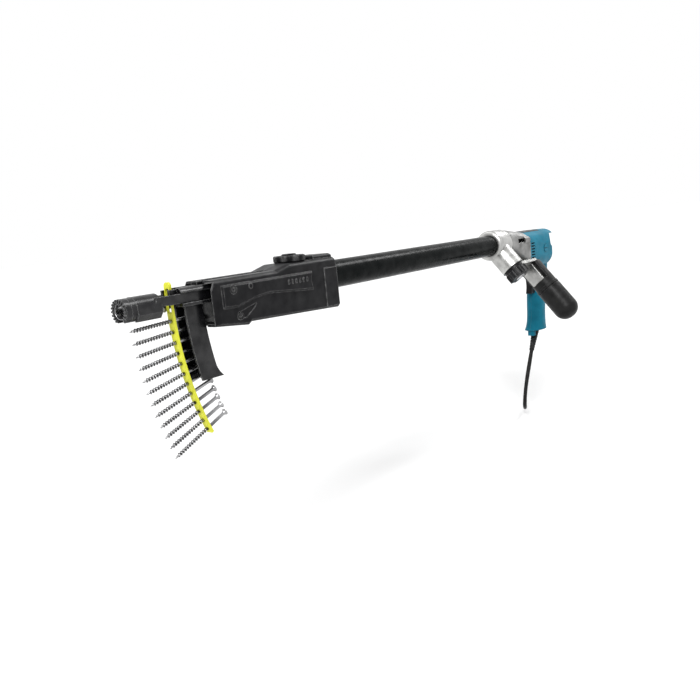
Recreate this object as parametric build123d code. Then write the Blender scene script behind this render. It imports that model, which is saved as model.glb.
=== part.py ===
from build123d import *
from math import atan2, cos, degrees, pi, radians, sin, sqrt, tan
import os

# Auto-feed decking screwdriver: a corded motor at the rear, a pole, and a sliding nose at the
# front that feeds screws from a curved strip. All sizes are in millimetres.
# +X runs along the drive axis from the nose to the motor, +Z is up, +Y is the user's right.
# The origin is on the drive axis at the rear of the motor, where the web of the hand bears.

# Lengths along the drive axis, from the hand forward
MOTOR_LENGTH = 132
GEAR_CASE_LENGTH = 64
COLLAR_GAP = 2
COLLAR_LENGTH = 46
POLE_EXPOSED = 482
HOUSING_LENGTH = 212
NOSE_REACH = 100

X_MOTOR = -MOTOR_LENGTH
X_GEAR = X_MOTOR - GEAR_CASE_LENGTH
X_COLLAR_REAR = X_GEAR - COLLAR_GAP
X_COLLAR = X_COLLAR_REAR - COLLAR_LENGTH
X_HOUSING_REAR = X_COLLAR - POLE_EXPOSED
X_HOUSING = X_HOUSING_REAR - HOUSING_LENGTH
X_NOSE = X_HOUSING - NOSE_REACH
X_BOSS = X_COLLAR + COLLAR_LENGTH / 2

# Angles in degrees
HALF_TURN = 180
FULL_TURN = 360

# Clearances
SEAT_GAP = 0.05
RUN_GAP = 0.06
SLIDE_GAP = 0.4
FREE_GAP = 1.0

# Screw strip
SCREW_LENGTH = 83
SCREW_AHEAD = 54
SCREW_SHANK_R = 2.1
SCREW_HEAD_R = 4.2
SCREW_HEAD_HEIGHT = 4.0
SCREW_POINT = 7
SCREW_POINT_R = 0.4
SCREW_SIDES = 8
SCREW_PHASE = 0.62
SPENT_PLACES = 2
TORN_PLACES = 1.66
SCREW_PITCH = 11.75
SCREW_COUNT = 12
STRIP_RADIUS = 378
STRIP_BEHIND_NOSE = 62
BAND_DEPTH = 3
BAND_HALF_WIDTH = 4.6

X_STRIP = X_NOSE + STRIP_BEHIND_NOSE
X_FEED = X_STRIP + STRIP_RADIUS
STRIP_STEP = degrees(SCREW_PITCH / STRIP_RADIUS)
HEAD_RADIUS = STRIP_RADIUS - (SCREW_LENGTH - SCREW_AHEAD)

# Nose
TEETH_LENGTH = 8
TEETH_DEPTH = 1.4
TEETH_COUNT = 20
SLEEVE_LENGTH = 14
SLEEVE_R = 12.6
BARREL_R = 13
BARREL_FLAT = 6
BARREL_BASE = 12.5
BARREL_BASE_HALF = 8
BARREL_LENGTH = 43.5
NOSE_BORE_R = 8.2
NOSE_SLOT_HALF = 5.3
ARM_INNER = 7.8
ARM_OUTER = 12.6
ARM_BOTTOM = -1
ARM_TOP = 9
ARM_END = 110
NOSE_ADJUST = 12.7

# Carriage
CARRIAGE_FRONT = 68
CARRIAGE_STEP = 113
CARRIAGE_END = 178
CARRIAGE_HALF = 15
CARRIAGE_TOP = 15
CARRIAGE_ROUND = 8
CARRIAGE_CHIN = -5
CARRIAGE_BASE = -28
CARRIAGE_BORE_R = 6.4
CARRIAGE_STROKE = 92
HEAD_SLOT_HALF = 5.2
HEAD_SLOT_END = 95
TRACK_GAP = 0.1
TRACK_OUTER = 7.2
TRACK_START = 58
TRACK_BOTTOM = -2
TRACK_TOP = 14
RAIL_Z = -24
RAIL_TONGUE = 3
RAIL_TONGUE_HALF = 1.7
RAIL_HALF = 2.7

# Release button
BUTTON_STATION = 103
BUTTON_LENGTH = 11
BUTTON_HALF_WIDTH = 4.5
BUTTON_TOP = 18.5
POCKET_FLOOR = 7.8
BUTTON_SPRING_HEIGHT = 4
BUTTON_SPRING_R = 2.6
BUTTON_SPRING_TURNS = 2
BUTTON_WIRE_R = 0.35

# Feed guide
GUIDE_ROOM = 7
GUIDE_COVER = 17
GUIDE_FAR_REACH = 8
GUIDE_HALF = 9.4
GUIDE_PLATE = 2.2
GUIDE_BACK = 3
GUIDE_END_ANGLE = 16.2
GUIDE_BASE = -89
GUIDE_FLARE_ANGLE = 4.5
GUIDE_FLARE = 10
GUIDE_FAR_ANGLE = 5.6
GUIDE_FAR_END = 14.4
GUIDE_INNER_R = HEAD_RADIUS - GUIDE_ROOM
GUIDE_OUTER_R = HEAD_RADIUS + GUIDE_COVER
GUIDE_FAR_R = GUIDE_OUTER_R + GUIDE_FAR_REACH

# Feed lever
LEVER_STATION = 140
LEVER_Z = 4
LEVER_PLATE = 3
LEVER_R = 6
LEVER_TAIL = 12
LEVER_SWING = 8
LEVER_PIN_R = 2.4
LEVER_TIP_STATION = 59
LEVER_TIP_Z = -7
LEVER_TIP_R = 2.5
LEVER_PIN_HEAD = 1.5
ROLLER_R = 4
ROLLER_PIN_R = 1.4
ROLLER_WIDTH = 3

# Front housing
HOUSING_HALF = 25
HOUSING_WALL = 2.5
HOUSING_TOP = 18.5
HOUSING_DECK = 24.5
HOUSING_CHIN = -32
HOUSING_BELLY = -37.5
HOUSING_WAIST = -34.5
HOUSING_KEEL = -40
HOUSING_HEEL = -41
HOUSING_EDGE = 7
HOUSING_SILL = 2.5
HOUSING_CEILING = 16
HOUSING_FLOOR = -29
CHAMBER_BACK = 41
RAMP_START = 103
RAMP_END = 126
BELLY_STATION = 50
WAIST_STATION = 55
TOP_SLOT_HALF = 8.5
TOP_SLOT_LENGTH = 105
BOTTOM_SLOT_HALF = 10.6
BOTTOM_SLOT_LENGTH = 112
HUMP_LENGTH = 36
HUMP_HALF = 19
HUMP_TOP = 30
HUMP_EDGE = 7
KEEL_BACK = 22
BAND_BACK = 25
BAND_TOP = 12
BAND_PROUD = 1.2
BEVEL_LENGTH = 8
BEVEL_DEPTH = 1.8
PANEL_PROUD = 2.2
PANEL_EDGE = 1.8
RIB_COUNT = 6
RIB_STATION = 117
RIB_PITCH = 6.6
RIB_WIDTH = 2.4
RIB_HEIGHT = 5
RIB_PROUD = 0.8
RIB_Z = 2.5
SEAT_R = 4.6
SEAT_DEPTH = 1.5
STUB_R = 3
POCKET_DEPTH = 0.8

# Outlines on the side of the front housing, by station and height
SIDE_PANEL = [(13, 11), (13, -14), (34, -15), (62, -8.5), (84, -6), (164, -12), (161, 0), (164, 11)]
SIDE_POCKET = [(32, -28), (36, -21), (64, -14), (60, -19), (46, -28)]
SIDE_SEATS = [(29, 5), (37, -25)]
SIDE_STUB = (55, 6)

# Depth dial
DIAL_BACK = 60
DIAL_R = 21
DIAL_LOBES = 8
DIAL_LOBE_R = 5
DIAL_HEIGHT = 8
DIAL_STEM_R = 5
DIAL_CAP_R = 9
DIAL_CAP_HEIGHT = 2

# Pole and drive shaft
POLE_OD = 38
POLE_WALL = 2
POLE_IN_HOUSING = 36
BIT_STATION = 95
BIT_R = 3
BIT_SOCKET = 20
MANDREL_STATION = 190
MANDREL_R = 5
BUSH_LENGTH = 26
BUSH_FLANGE = 4
SPRING_SEAT_STATION = 128
SPRING_R = 9.2
SPRING_WIRE = 1.7
SPRING_TURNS = 5
SPRING_POCKET_R = 11.5
WIRE_SIDES = 4

# Spindle and gears
SPIGOT_LENGTH = 40
SPIGOT_BORE_R = 11
SPINDLE_R = 7
SPINDLE_NOSE = 56
SPINDLE_SOCKET = 30
BEARING_LENGTH = 8
GEAR_MODULE = 1.0
GEAR_TEETH = 32
PINION_TEETH = 8
GEAR_WIDTH = 10
GEAR_BACKLASH = 0.9
GEAR_ADDENDUM = 0.75
GEAR_DEDENDUM = 1.15
PRESSURE_ANGLE = 20
GEAR_OFFSET = GEAR_MODULE * (GEAR_TEETH + PINION_TEETH) / 2
GEAR_FRONT = 8
ARMATURE_Z = -GEAR_OFFSET

# Gear case and motor body
CASE_FRONT_SIZE = 54
CASE_FRONT_CORNER = 25
CASE_FLOOR = 6
GEAR_ROOM = 1.2
PINION_ROOM_R = 7
BEARING_ROOM_R = 14
PLATE_FRONT = 18
PLATE_THICKNESS = 10
FRONT_BEARING_R = 11
BODY_WIDTH = 70
BODY_HEIGHT = 76
BODY_CORNER = 27
BODY_WALL = 3
BODY_REAR = 17
BODY_REAR_EDGE = 9
BODY_REAR_WALL = 31
SADDLE_R = 14
SADDLE_DEPTH = 16
SADDLE_Z = -6
BEAK_REACH = 13
BEAK_EDGE = 4
CASE_LUG_R = 7.5
CASE_LUG_LENGTH = 21
CASE_LUG_Y = 27.5
CASE_LUG_Z = 2
CASE_LUG_BORE = 4.5
CASE_LUG_POCKET = 6
VENT_COUNT = 6
VENT_PITCH = 5.6
VENT_HEIGHT = 2.4
VENT_LENGTH = 16
VENT_STATION = 4

# Armature and field
SHAFT_R = 4
ARMATURE_R = 17.5
AIR_GAP = 0.7
ARMATURE_START = 26
ARMATURE_BEHIND = 74
ARMATURE_LENGTH = MOTOR_LENGTH - ARMATURE_START - ARMATURE_BEHIND
FAN_R = 27
FAN_LENGTH = 11
FAN_BLADES = 8
FAN_START = 2
COMMUTATOR_R = 11
COMMUTATOR_GAP = 6
COMMUTATOR_START = ARMATURE_START + ARMATURE_LENGTH + COMMUTATOR_GAP
COMMUTATOR_LENGTH = 16
FIELD_HEIGHT = 60
FIELD_CORNER = 22
REAR_BEARING_R = 9.5
BRUSH_CAP_R = 7.5
BRUSH_CAP_PROUD = 1.2
BRUSH_CAP_LENGTH = 5

# Grip: height, centre along X, half length and half width of each section
GRIP_SECTIONS = [
    (-34, -30, 28, 21),
    (-66, -26, 31, 19),
    (-100, -32, 28, 18),
    (-140, -39, 26, 17.5),
    (-176, -43, 27, 18),
    (-190, -47, 32, 20),
]
GRIP_WALL = 3
LUG_FRONT = -74
LUG_LENGTH = 13
LUG_HALF = 7
LUG_DROP = 11
GUARD_RAKE = 32

# Trigger and switches
TRIGGER_Z = -95
TRIGGER_HEIGHT = 34
TRIGGER_HALF = 6.5
TRIGGER_FRONT = -74
TRIGGER_REAR = -54
TRIGGER_HOLLOW = 4
TRIGGER_TRAVEL = 7
SWITCH_LENGTH = 18
SWITCH_HALF = 8
SWITCH_HEIGHT = 36
SWITCH_RIB = 3
X_SWITCH = TRIGGER_REAR + TRIGGER_TRAVEL + FREE_GAP
LOCK_R = 4
LOCK_X = -27
LOCK_Z = -92
LOCK_PROUD = 2
LOCK_LENGTH = 6.5
REVERSE_X = -50
REVERSE_Z = -68
REVERSE_REACH = 20
REVERSE_HALF = 4
REVERSE_HEIGHT = 5
REVERSE_SWING = 12
REVERSE_PIN_R = 2

# Side handle: the boss leans this far below the horizontal, to the user's left
BOSS_LEAN = 50
BOSS_R = 22
BOSS_END = 58
COLLAR_R = 28
COLLAR_EDGE = 7
ARM_THICKNESS = 6
ARM_LENGTH = 67
ARM_HALF = 19
STUD_R = 5
STUD_LENGTH = 34
KNOB_R = 21.5
KNOB_LOBES = 6
KNOB_LOBE_R = 6.5
KNOB_HEIGHT = 14
TONGUE_HALF = 13.5
TONGUE_THICKNESS = 9
TONGUE_LENGTH = 38
TONGUE_AHEAD = 16
HANDLE_R = 23
SLEEVE_HANDLE_R = 22
HANDLE_SPIGOT_R = 9
HANDLE_SPIGOT = 30
HANDLE_SLEEVE = 50
HANDLE_GRIP = 75
HANDLE_END = 21
GROOVE_WIDTH = 2.4
GROOVE_DEPTH = 1.5
GROOVE_START = 6

# Belt clip on the right of the motor
CLIP_LENGTH = 84
CLIP_WIDTH = 20
CLIP_THICKNESS = 2
CLIP_GAP = 4
CLIP_FOOT = 18
CLIP_START = 24

# Cord: corners of its route from the guard's tip to the hank, chosen by hand
CORD_R = 3.75
GUARD_LENGTH = 50
GUARD_ROOT_R = 8
GUARD_TIP_R = 5
GUARD_FLANGE = 3
CORD_DROP = 50
CORD_ROUTE = [
    (-118, 2, -335),
    (-78, 19, -364),
    (-40, 35, -334),
    (2, 34, -257),
    (32, 36, -195),
    (44, 40, -120),
    (51, 45, -70),
    (51, 47, -24),
]
CORD_SIDES = 6
HANK_LAYERS = 3
HANK_NESTED = 2
HANK_LENGTH = 130
HANK_HEIGHT = 70
HANK_NEAR = 43
HANK_THICKNESS = 2 * CORD_R * HANK_LAYERS
HANK_X = -10
HANK_Z = -24
TIE_WIDTH = 18
TIE_THICKNESS = 1.5
TIE_X = -36
PLUG_LENGTH = 40
PLUG_WIDTH = 24
PLUG_HEIGHT = 28
PLUG_X = -16
PLUG_NECK = 16
PIN_LENGTH = 17
PIN_WIDTH = 6.3
PIN_THICKNESS = 1.6
PIN_SPACING = 12.7


def rod(radius, x_from, x_to, y=0, z=0):
    """A solid cylinder along X between two stations."""
    return Pos((x_from + x_to) / 2, y, z) * Rot(0, 90, 0) * Cylinder(radius, abs(x_to - x_from))


def ring(outer, inner, x_from, x_to, y=0, z=0):
    """A round ring along X between two stations."""
    past = FREE_GAP
    return rod(outer, x_from, x_to, y, z) - rod(inner, x_from - past, x_to + past, y, z)


def block(x_from, x_to, y_from, y_to, z_from, z_to):
    """A box between two corners."""
    centre = ((x_from + x_to) / 2, (y_from + y_to) / 2, (z_from + z_to) / 2)
    return Pos(*centre) * Box(x_to - x_from, y_to - y_from, z_to - z_from)


def side_plate(outline, y_from, y_to):
    """A side outline, drawn in X and Z, given thickness along Y."""
    return Pos(0, y_to, 0) * extrude(Plane.XZ * outline, amount=y_to - y_from)


def section(outline, x_from, x_to):
    """A cross-section, drawn in Y and Z, extruded along X."""
    return Pos(x_from, 0, 0) * extrude(Plane.YZ * outline, amount=x_to - x_from)


def cross_pin(radius, x, y_from, y_to, z):
    """A pin along Y."""
    return Pos(x, (y_from + y_to) / 2, z) * Rot(90, 0, 0) * Cylinder(radius, y_to - y_from)


def lobed(radius, lobe_radius, lobes, height):
    """A hand wheel with round lobes, standing on the XY plane."""
    wheel = Pos(0, 0, height / 2) * Cylinder(radius - lobe_radius / 2, height)
    finger = Pos(radius - lobe_radius, 0, height / 2) * Cylinder(lobe_radius, height)
    for turn in range(lobes):
        wheel += Rot(0, 0, FULL_TURN * turn / lobes) * finger
    return wheel


def feed_sector(r_in, r_out, a_from, a_to):
    """An arc-shaped outline about the strip's centre, from one angle below the axis to another."""
    centre = (X_FEED, 0)
    outer = CenterArc(centre, r_out, HALF_TURN + a_from, a_to - a_from)
    inner = CenterArc(centre, r_in, HALF_TURN + a_from, a_to - a_from)
    return make_face([outer, Line(outer @ 1, inner @ 1), inner, Line(inner @ 0, outer @ 0)])


def on_boss(part, x=0.0):
    """Stand a part that is drawn along +Z on the side handle's axis, which leans down to the left."""
    return Pos(X_BOSS + x, 0, 0) * Rot(90 + BOSS_LEAN, 0, 0) * part


def feed_angle(z, radius):
    """Angle below the axis, about the strip's centre, of a height at a radius."""
    return degrees(atan2(-z, sqrt(radius ** 2 - z ** 2)))


# Nose: a toothed rim, a slotted barrel and two arms that run into the carriage

def nose_section():
    """Round on top, flat at the sides and bevelled to a narrow base."""
    crown = CenterArc((0, 0), BARREL_R, 0, HALF_TURN)
    left = Line(crown @ 1, (-BARREL_R, -BARREL_FLAT))
    left_bevel = Line(left @ 1, (-BARREL_BASE_HALF, -BARREL_BASE))
    base = Line(left_bevel @ 1, (BARREL_BASE_HALF, -BARREL_BASE))
    right_bevel = Line(base @ 1, (BARREL_R, -BARREL_FLAT))
    return make_face([crown, left, left_bevel, base, right_bevel, Line(right_bevel @ 1, crown @ 0)])


def nose_slot(x_from, x_to):
    """The open bottom that screws rise through, and the round bore."""
    slot = block(x_from, x_to, -NOSE_SLOT_HALF, NOSE_SLOT_HALF, -2 * BARREL_R, 0)
    return slot + rod(NOSE_BORE_R, x_from, x_to)


def make_nose_teeth():
    rim = rod(SLEEVE_R, X_NOSE, X_NOSE + TEETH_LENGTH)
    rim -= nose_slot(X_NOSE - FREE_GAP, X_NOSE + TEETH_LENGTH + FREE_GAP)
    notch_width = pi * SLEEVE_R / TEETH_COUNT
    notch = Pos(X_NOSE, 0, SLEEVE_R) * Box(2 * TEETH_DEPTH, notch_width, SLEEVE_R)
    for turn in range(TEETH_COUNT):
        rim -= Rot(FULL_TURN * (turn + 0.5) / TEETH_COUNT, 0, 0) * notch
    return rim


def make_nose_tube():
    sleeve = rod(SLEEVE_R, X_NOSE + TEETH_LENGTH, X_NOSE + SLEEVE_LENGTH)
    barrel = section(nose_section(), X_NOSE + SLEEVE_LENGTH, X_NOSE + BARREL_LENGTH)
    tube = sleeve + barrel
    tube -= nose_slot(X_NOSE, X_NOSE + BARREL_LENGTH + FREE_GAP)
    for side in (-1, 1):
        y_low, y_high = sorted((side * ARM_INNER, side * ARM_OUTER))
        arm_start = X_NOSE + BARREL_LENGTH - BARREL_R / 2
        arm = block(arm_start, X_NOSE + ARM_END, y_low, y_high, ARM_BOTTOM, ARM_TOP)
        tube += arm - rod(NOSE_BORE_R, arm_start - FREE_GAP, X_NOSE + BARREL_LENGTH + FREE_GAP)
    return tube


# Carriage: slides in the front housing and carries the nose, the guide and the strip

def make_carriage():
    front = X_NOSE + CARRIAGE_FRONT
    step = X_NOSE + CARRIAGE_STEP
    rear = X_NOSE + CARRIAGE_END
    body = block(front, step, -CARRIAGE_HALF, CARRIAGE_HALF, CARRIAGE_CHIN, CARRIAGE_TOP)
    body += block(step, rear, -CARRIAGE_HALF, CARRIAGE_HALF, CARRIAGE_BASE, CARRIAGE_TOP)
    body = fillet(body.edges().filter_by(Axis.X).group_by(Axis.Z)[-1], CARRIAGE_ROUND)
    body -= rod(CARRIAGE_BORE_R, front - FREE_GAP, rear + FREE_GAP)
    body -= rod(SPRING_POCKET_R, X_NOSE + SPRING_SEAT_STATION, rear + FREE_GAP)
    head_slot_end = X_NOSE + HEAD_SLOT_END
    body -= block(front - FREE_GAP, head_slot_end, -HEAD_SLOT_HALF, HEAD_SLOT_HALF,
                  CARRIAGE_CHIN - FREE_GAP, CARRIAGE_TOP + FREE_GAP)
    arm_stop = X_NOSE + ARM_END + NOSE_ADJUST + SLIDE_GAP
    for side in (-1, 1):
        y_low, y_high = sorted((side * (ARM_INNER - SLIDE_GAP), side * (CARRIAGE_HALF + FREE_GAP)))
        body -= block(front - FREE_GAP, arm_stop, y_low, y_high, ARM_BOTTOM - SLIDE_GAP,
                      ARM_TOP + SLIDE_GAP)
        y_low, y_high = sorted((side * (CARRIAGE_HALF - RAIL_TONGUE - SLIDE_GAP),
                                side * (CARRIAGE_HALF + FREE_GAP)))
        body -= block(step - FREE_GAP, rear + FREE_GAP, y_low, y_high,
                      RAIL_Z - RAIL_TONGUE_HALF - SLIDE_GAP, RAIL_Z + RAIL_TONGUE_HALF + SLIDE_GAP)
    for side in (-1, 1):
        y_low, y_high = sorted((side * (BAND_HALF_WIDTH + TRACK_GAP), side * TRACK_OUTER))
        body += block(X_NOSE + TRACK_START, front, y_low, y_high, TRACK_BOTTOM, TRACK_TOP)
    body -= button_block(SLIDE_GAP, POCKET_FLOOR, CARRIAGE_TOP + FREE_GAP)
    pin_x = X_NOSE + LEVER_STATION
    body -= cross_pin(LEVER_PIN_R + RUN_GAP, pin_x, SPRING_POCKET_R, CARRIAGE_HALF + 1, LEVER_Z)
    return body


def button_block(grow, z_from, z_to):
    """The release button's outline, grown by a clearance."""
    centre = X_NOSE + BUTTON_STATION
    half = BUTTON_LENGTH / 2 + grow
    return block(centre - half, centre + half, -BUTTON_HALF_WIDTH - grow, BUTTON_HALF_WIDTH + grow, z_from,
                 z_to)


def make_release_button():
    button = button_block(0, POCKET_FLOOR + BUTTON_SPRING_HEIGHT, BUTTON_TOP)
    return fillet(button.faces().sort_by(Axis.Z)[-1].edges(), 1)


def coil(radius, wire, height, turns):
    """A coil of square wire standing on the XY plane."""
    path = Helix(pitch=(height - 2 * wire) / turns, height=height - 2 * wire, radius=radius)
    profile = Plane(origin=path @ 0, z_dir=path % 0) * RegularPolygon(wire, WIRE_SIDES)
    return Pos(0, 0, wire) * sweep(profile, path=path, is_frenet=True)


def make_button_spring():
    spring = coil(BUTTON_SPRING_R, BUTTON_WIRE_R, BUTTON_SPRING_HEIGHT, BUTTON_SPRING_TURNS)
    return Pos(X_NOSE + BUTTON_STATION, 0, POCKET_FLOOR) * spring


def make_return_spring():
    start = X_NOSE + SPRING_SEAT_STATION + SLIDE_GAP
    end = X_HOUSING_REAR - POLE_IN_HOUSING - BUSH_FLANGE - SLIDE_GAP
    return Pos(start, 0, 0) * Rot(0, 90, 0) * coil(SPRING_R, SPRING_WIRE / 2, end - start, SPRING_TURNS)


# Feed guide: an arched channel that the screw heads run in

def feed_point(radius, angle):
    """A point in the strip's plane, in X and Z, by its radius and its angle below the axis."""
    return X_FEED - radius * cos(radians(angle)), -radius * sin(radians(angle))


def guide_flare():
    """The foot of the guide, where its back bends away to let the strip in."""
    start = GUIDE_END_ANGLE - GUIDE_FLARE_ANGLE
    middle = GUIDE_END_ANGLE - GUIDE_FLARE_ANGLE / 3
    root = feed_point(GUIDE_INNER_R, start)
    tip = feed_point(GUIDE_INNER_R - GUIDE_FLARE, GUIDE_END_ANGLE)
    curve = ThreePointArc(root, feed_point(GUIDE_INNER_R - GUIDE_FLARE / 3, middle), tip)
    inside = GUIDE_INNER_R + GUIDE_BACK
    corner = feed_point(inside, GUIDE_END_ANGLE)
    return make_face([curve, Polyline(tip, corner, feed_point(inside, start), root)])


def make_feed_guide():
    top_angle = feed_angle(CARRIAGE_CHIN, GUIDE_INNER_R) - 1
    inner = GUIDE_HALF - GUIDE_PLATE
    guide = side_plate(feed_sector(GUIDE_INNER_R, GUIDE_OUTER_R, top_angle, GUIDE_END_ANGLE), -GUIDE_HALF,
                       -inner)
    guide += side_plate(feed_sector(GUIDE_INNER_R, GUIDE_OUTER_R, top_angle, GUIDE_END_ANGLE), inner,
                        GUIDE_HALF)
    guide += side_plate(feed_sector(GUIDE_OUTER_R - 1, GUIDE_FAR_R, GUIDE_FAR_ANGLE, GUIDE_FAR_END),
                        inner, GUIDE_HALF)
    back_r = GUIDE_INNER_R + GUIDE_BACK
    guide += side_plate(feed_sector(GUIDE_INNER_R, back_r, top_angle, GUIDE_END_ANGLE), -GUIDE_HALF,
                        GUIDE_HALF)
    guide += side_plate(guide_flare(), -GUIDE_HALF, GUIDE_HALF)
    above = block(X_NOSE, X_FEED, -2 * GUIDE_HALF, 2 * GUIDE_HALF, CARRIAGE_CHIN, CARRIAGE_TOP)
    below = block(X_NOSE, X_FEED, -2 * GUIDE_HALF, 2 * GUIDE_HALF, 2 * GUIDE_BASE, GUIDE_BASE)
    return guide - above - below


# Screw strip

def strip_place(index):
    """Turn a part drawn along -X to a place on the strip, counted down from the drive axis."""
    return Pos(X_FEED, 0, 0) * Rot(0, -STRIP_STEP * (index + SCREW_PHASE), 0)


def strip_point(index, radius):
    """A point of the strip's side outline, in X and Z."""
    return feed_point(radius, STRIP_STEP * (index + SCREW_PHASE))


def make_strip_band():
    """A band of flat links, torn open where the last screws were driven."""
    r_in = STRIP_RADIUS - BAND_DEPTH / 2
    r_out = STRIP_RADIUS + BAND_DEPTH / 2
    folds = [index - 0.5 for index in range(-SPENT_PLACES, SCREW_COUNT + 2)]
    outer = [strip_point(fold, r_out) for fold in folds]
    inner = [strip_point(fold, r_in) for fold in reversed(folds)]
    band = side_plate(make_face(Polyline(*outer, *inner, close=True)), -BAND_HALF_WIDTH, BAND_HALF_WIDTH)
    corners = band.faces().sort_by(Axis.Z)[-1].edges().sort_by(SortBy.LENGTH)[:2]
    band = fillet(corners, BAND_HALF_WIDTH - SLIDE_GAP)
    hole = section(RegularPolygon(SCREW_SHANK_R + SEAT_GAP, SCREW_SIDES), -r_out - FREE_GAP,
                   -r_in + FREE_GAP)
    torn = SlotCenterToCenter(TORN_PLACES * SCREW_PITCH, 2 * (BIT_R + SLIDE_GAP), rotation=90)
    cuts = [strip_place(-TORN_PLACES / 2) * section(torn, -r_out - FREE_GAP, -r_in + FREE_GAP)]
    cuts += [strip_place(index) * hole for index in range(1, SCREW_COUNT + 1)]
    return band - cuts


def screw_taper(x_from, r_from, x_to, r_to):
    """A tapered length of screw along X."""
    small = Plane.YZ.offset(x_from) * RegularPolygon(r_from, SCREW_SIDES)
    return loft([small, Plane.YZ.offset(x_to) * RegularPolygon(r_to, SCREW_SIDES)])


def deck_screw():
    """One screw along -X, its head towards the strip's centre."""
    head = -HEAD_RADIUS
    neck = head - SCREW_HEAD_HEIGHT
    tip = head - SCREW_LENGTH
    screw = section(RegularPolygon(SCREW_SHANK_R, SCREW_SIDES), tip + SCREW_POINT, neck)
    screw += screw_taper(tip, SCREW_POINT_R, tip + SCREW_POINT, SCREW_SHANK_R)
    return screw + screw_taper(neck, SCREW_SHANK_R, head, SCREW_HEAD_R)


def make_strip_screws():
    screw = deck_screw()
    return Compound([strip_place(index) * screw for index in range(1, SCREW_COUNT + 1)])


# Feed lever with its roller, on the right of the carriage

LEVER_NEAR = CARRIAGE_HALF + SLIDE_GAP
LEVER_FAR = LEVER_NEAR + LEVER_PLATE
ROLLER_NEAR = LEVER_FAR + SLIDE_GAP
X_LEVER = X_NOSE + LEVER_STATION
X_ROLLER = X_LEVER + LEVER_TAIL


def make_feed_lever():
    tip = (X_NOSE + LEVER_TIP_STATION, LEVER_TIP_Z)
    pivot = (X_LEVER, LEVER_Z)
    length = sqrt((pivot[0] - tip[0]) ** 2 + (pivot[1] - tip[1]) ** 2)
    slope = degrees(atan2(tip[1] - pivot[1], tip[0] - pivot[0]))
    middle = ((tip[0] + pivot[0]) / 2, (tip[1] + pivot[1]) / 2)
    bar = Pos(*middle) * Rot(0, 0, slope) * SlotCenterToCenter(length, 2 * LEVER_TIP_R)
    outline = bar + Pos(*pivot) * Circle(LEVER_R)
    outline += Pos((X_LEVER + X_ROLLER) / 2, LEVER_Z) * SlotCenterToCenter(LEVER_TAIL, 2 * LEVER_TIP_R)
    lever = side_plate(outline, LEVER_NEAR, LEVER_FAR)
    pawl = side_plate(Pos(*tip) * Circle(LEVER_TIP_R), BAND_HALF_WIDTH + FREE_GAP, LEVER_FAR)
    lever += pawl
    lever -= cross_pin(LEVER_PIN_R + RUN_GAP, X_LEVER, LEVER_NEAR - 1, LEVER_FAR + 1, LEVER_Z)
    lever += cross_pin(ROLLER_PIN_R, X_ROLLER, LEVER_NEAR, ROLLER_NEAR + ROLLER_WIDTH, LEVER_Z)
    return lever


def make_lever_pin():
    pin = cross_pin(LEVER_PIN_R, X_LEVER, SPRING_POCKET_R + SLIDE_GAP, LEVER_FAR + SLIDE_GAP, LEVER_Z)
    head_near = LEVER_FAR + SLIDE_GAP
    head = cross_pin(LEVER_R - FREE_GAP, X_LEVER, head_near, head_near + LEVER_PIN_HEAD, LEVER_Z)
    return pin + head


def make_lever_roller():
    roller = cross_pin(ROLLER_R, X_ROLLER, ROLLER_NEAR, ROLLER_NEAR + ROLLER_WIDTH, LEVER_Z)
    hole = cross_pin(ROLLER_PIN_R + RUN_GAP, X_ROLLER, ROLLER_NEAR - 1, ROLLER_NEAR + ROLLER_WIDTH + 1,
                     LEVER_Z)
    return roller - hole


# Front housing: two half shells that carry the slide rails and hold the pole

def housing_outline():
    """Side view of the housing, without the hump."""
    points = [
        (X_HOUSING, HOUSING_CHIN),
        (X_HOUSING, HOUSING_TOP - HOUSING_EDGE),
        (X_HOUSING + HOUSING_EDGE / 2, HOUSING_TOP),
        (X_HOUSING + RAMP_START, HOUSING_TOP),
        (X_HOUSING + RAMP_END, HOUSING_DECK),
        (X_HOUSING_REAR, HOUSING_DECK),
        (X_HOUSING_REAR, HOUSING_HEEL),
        (X_HOUSING_REAR - KEEL_BACK, HOUSING_KEEL),
        (X_HOUSING + WAIST_STATION, HOUSING_WAIST),
        (X_HOUSING + BELLY_STATION, HOUSING_BELLY),
    ]
    return make_face(Polyline(*points, close=True))


def housing_solid():
    body = side_plate(housing_outline(), -HOUSING_HALF, HOUSING_HALF)
    edges = body.faces().sort_by(Axis.Y)[0].edges() + body.faces().sort_by(Axis.Y)[-1].edges()
    body = chamfer(edges.filter_by(lambda edge: edge.center().Z < HOUSING_FLOOR), HOUSING_SILL)
    edges = body.faces().sort_by(Axis.Y)[0].edges() + body.faces().sort_by(Axis.Y)[-1].edges()
    body = fillet(edges.filter_by(lambda edge: edge.center().Z > HOUSING_TOP - HOUSING_EDGE), HOUSING_EDGE)
    hump = block(X_HOUSING_REAR - HUMP_LENGTH, X_HOUSING_REAR, -HUMP_HALF, HUMP_HALF,
                 HOUSING_DECK - HUMP_EDGE, HUMP_TOP)
    hump = fillet(hump.faces().sort_by(Axis.Z)[-1].edges(), (HUMP_TOP - HOUSING_DECK) * 0.8)
    body += hump
    for side in (-1, 1):
        body = dress_side(body, side)
    return body


def side_shape(outline, side, y_from, y_to):
    """An outline of stations and heights, given thickness on one side of the housing."""
    y_low, y_high = sorted((side * y_from, side * y_to))
    face = make_face(Polyline(*[(X_HOUSING + station, z) for station, z in outline], close=True))
    return side_plate(face, y_low, y_high)


def side_disc(radius, place, side, y_from, y_to):
    """A round boss or recess on one side of the housing."""
    y_low, y_high = sorted((side * y_from, side * y_to))
    return cross_pin(radius, X_HOUSING + place[0], y_low, y_high, place[1])


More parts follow.
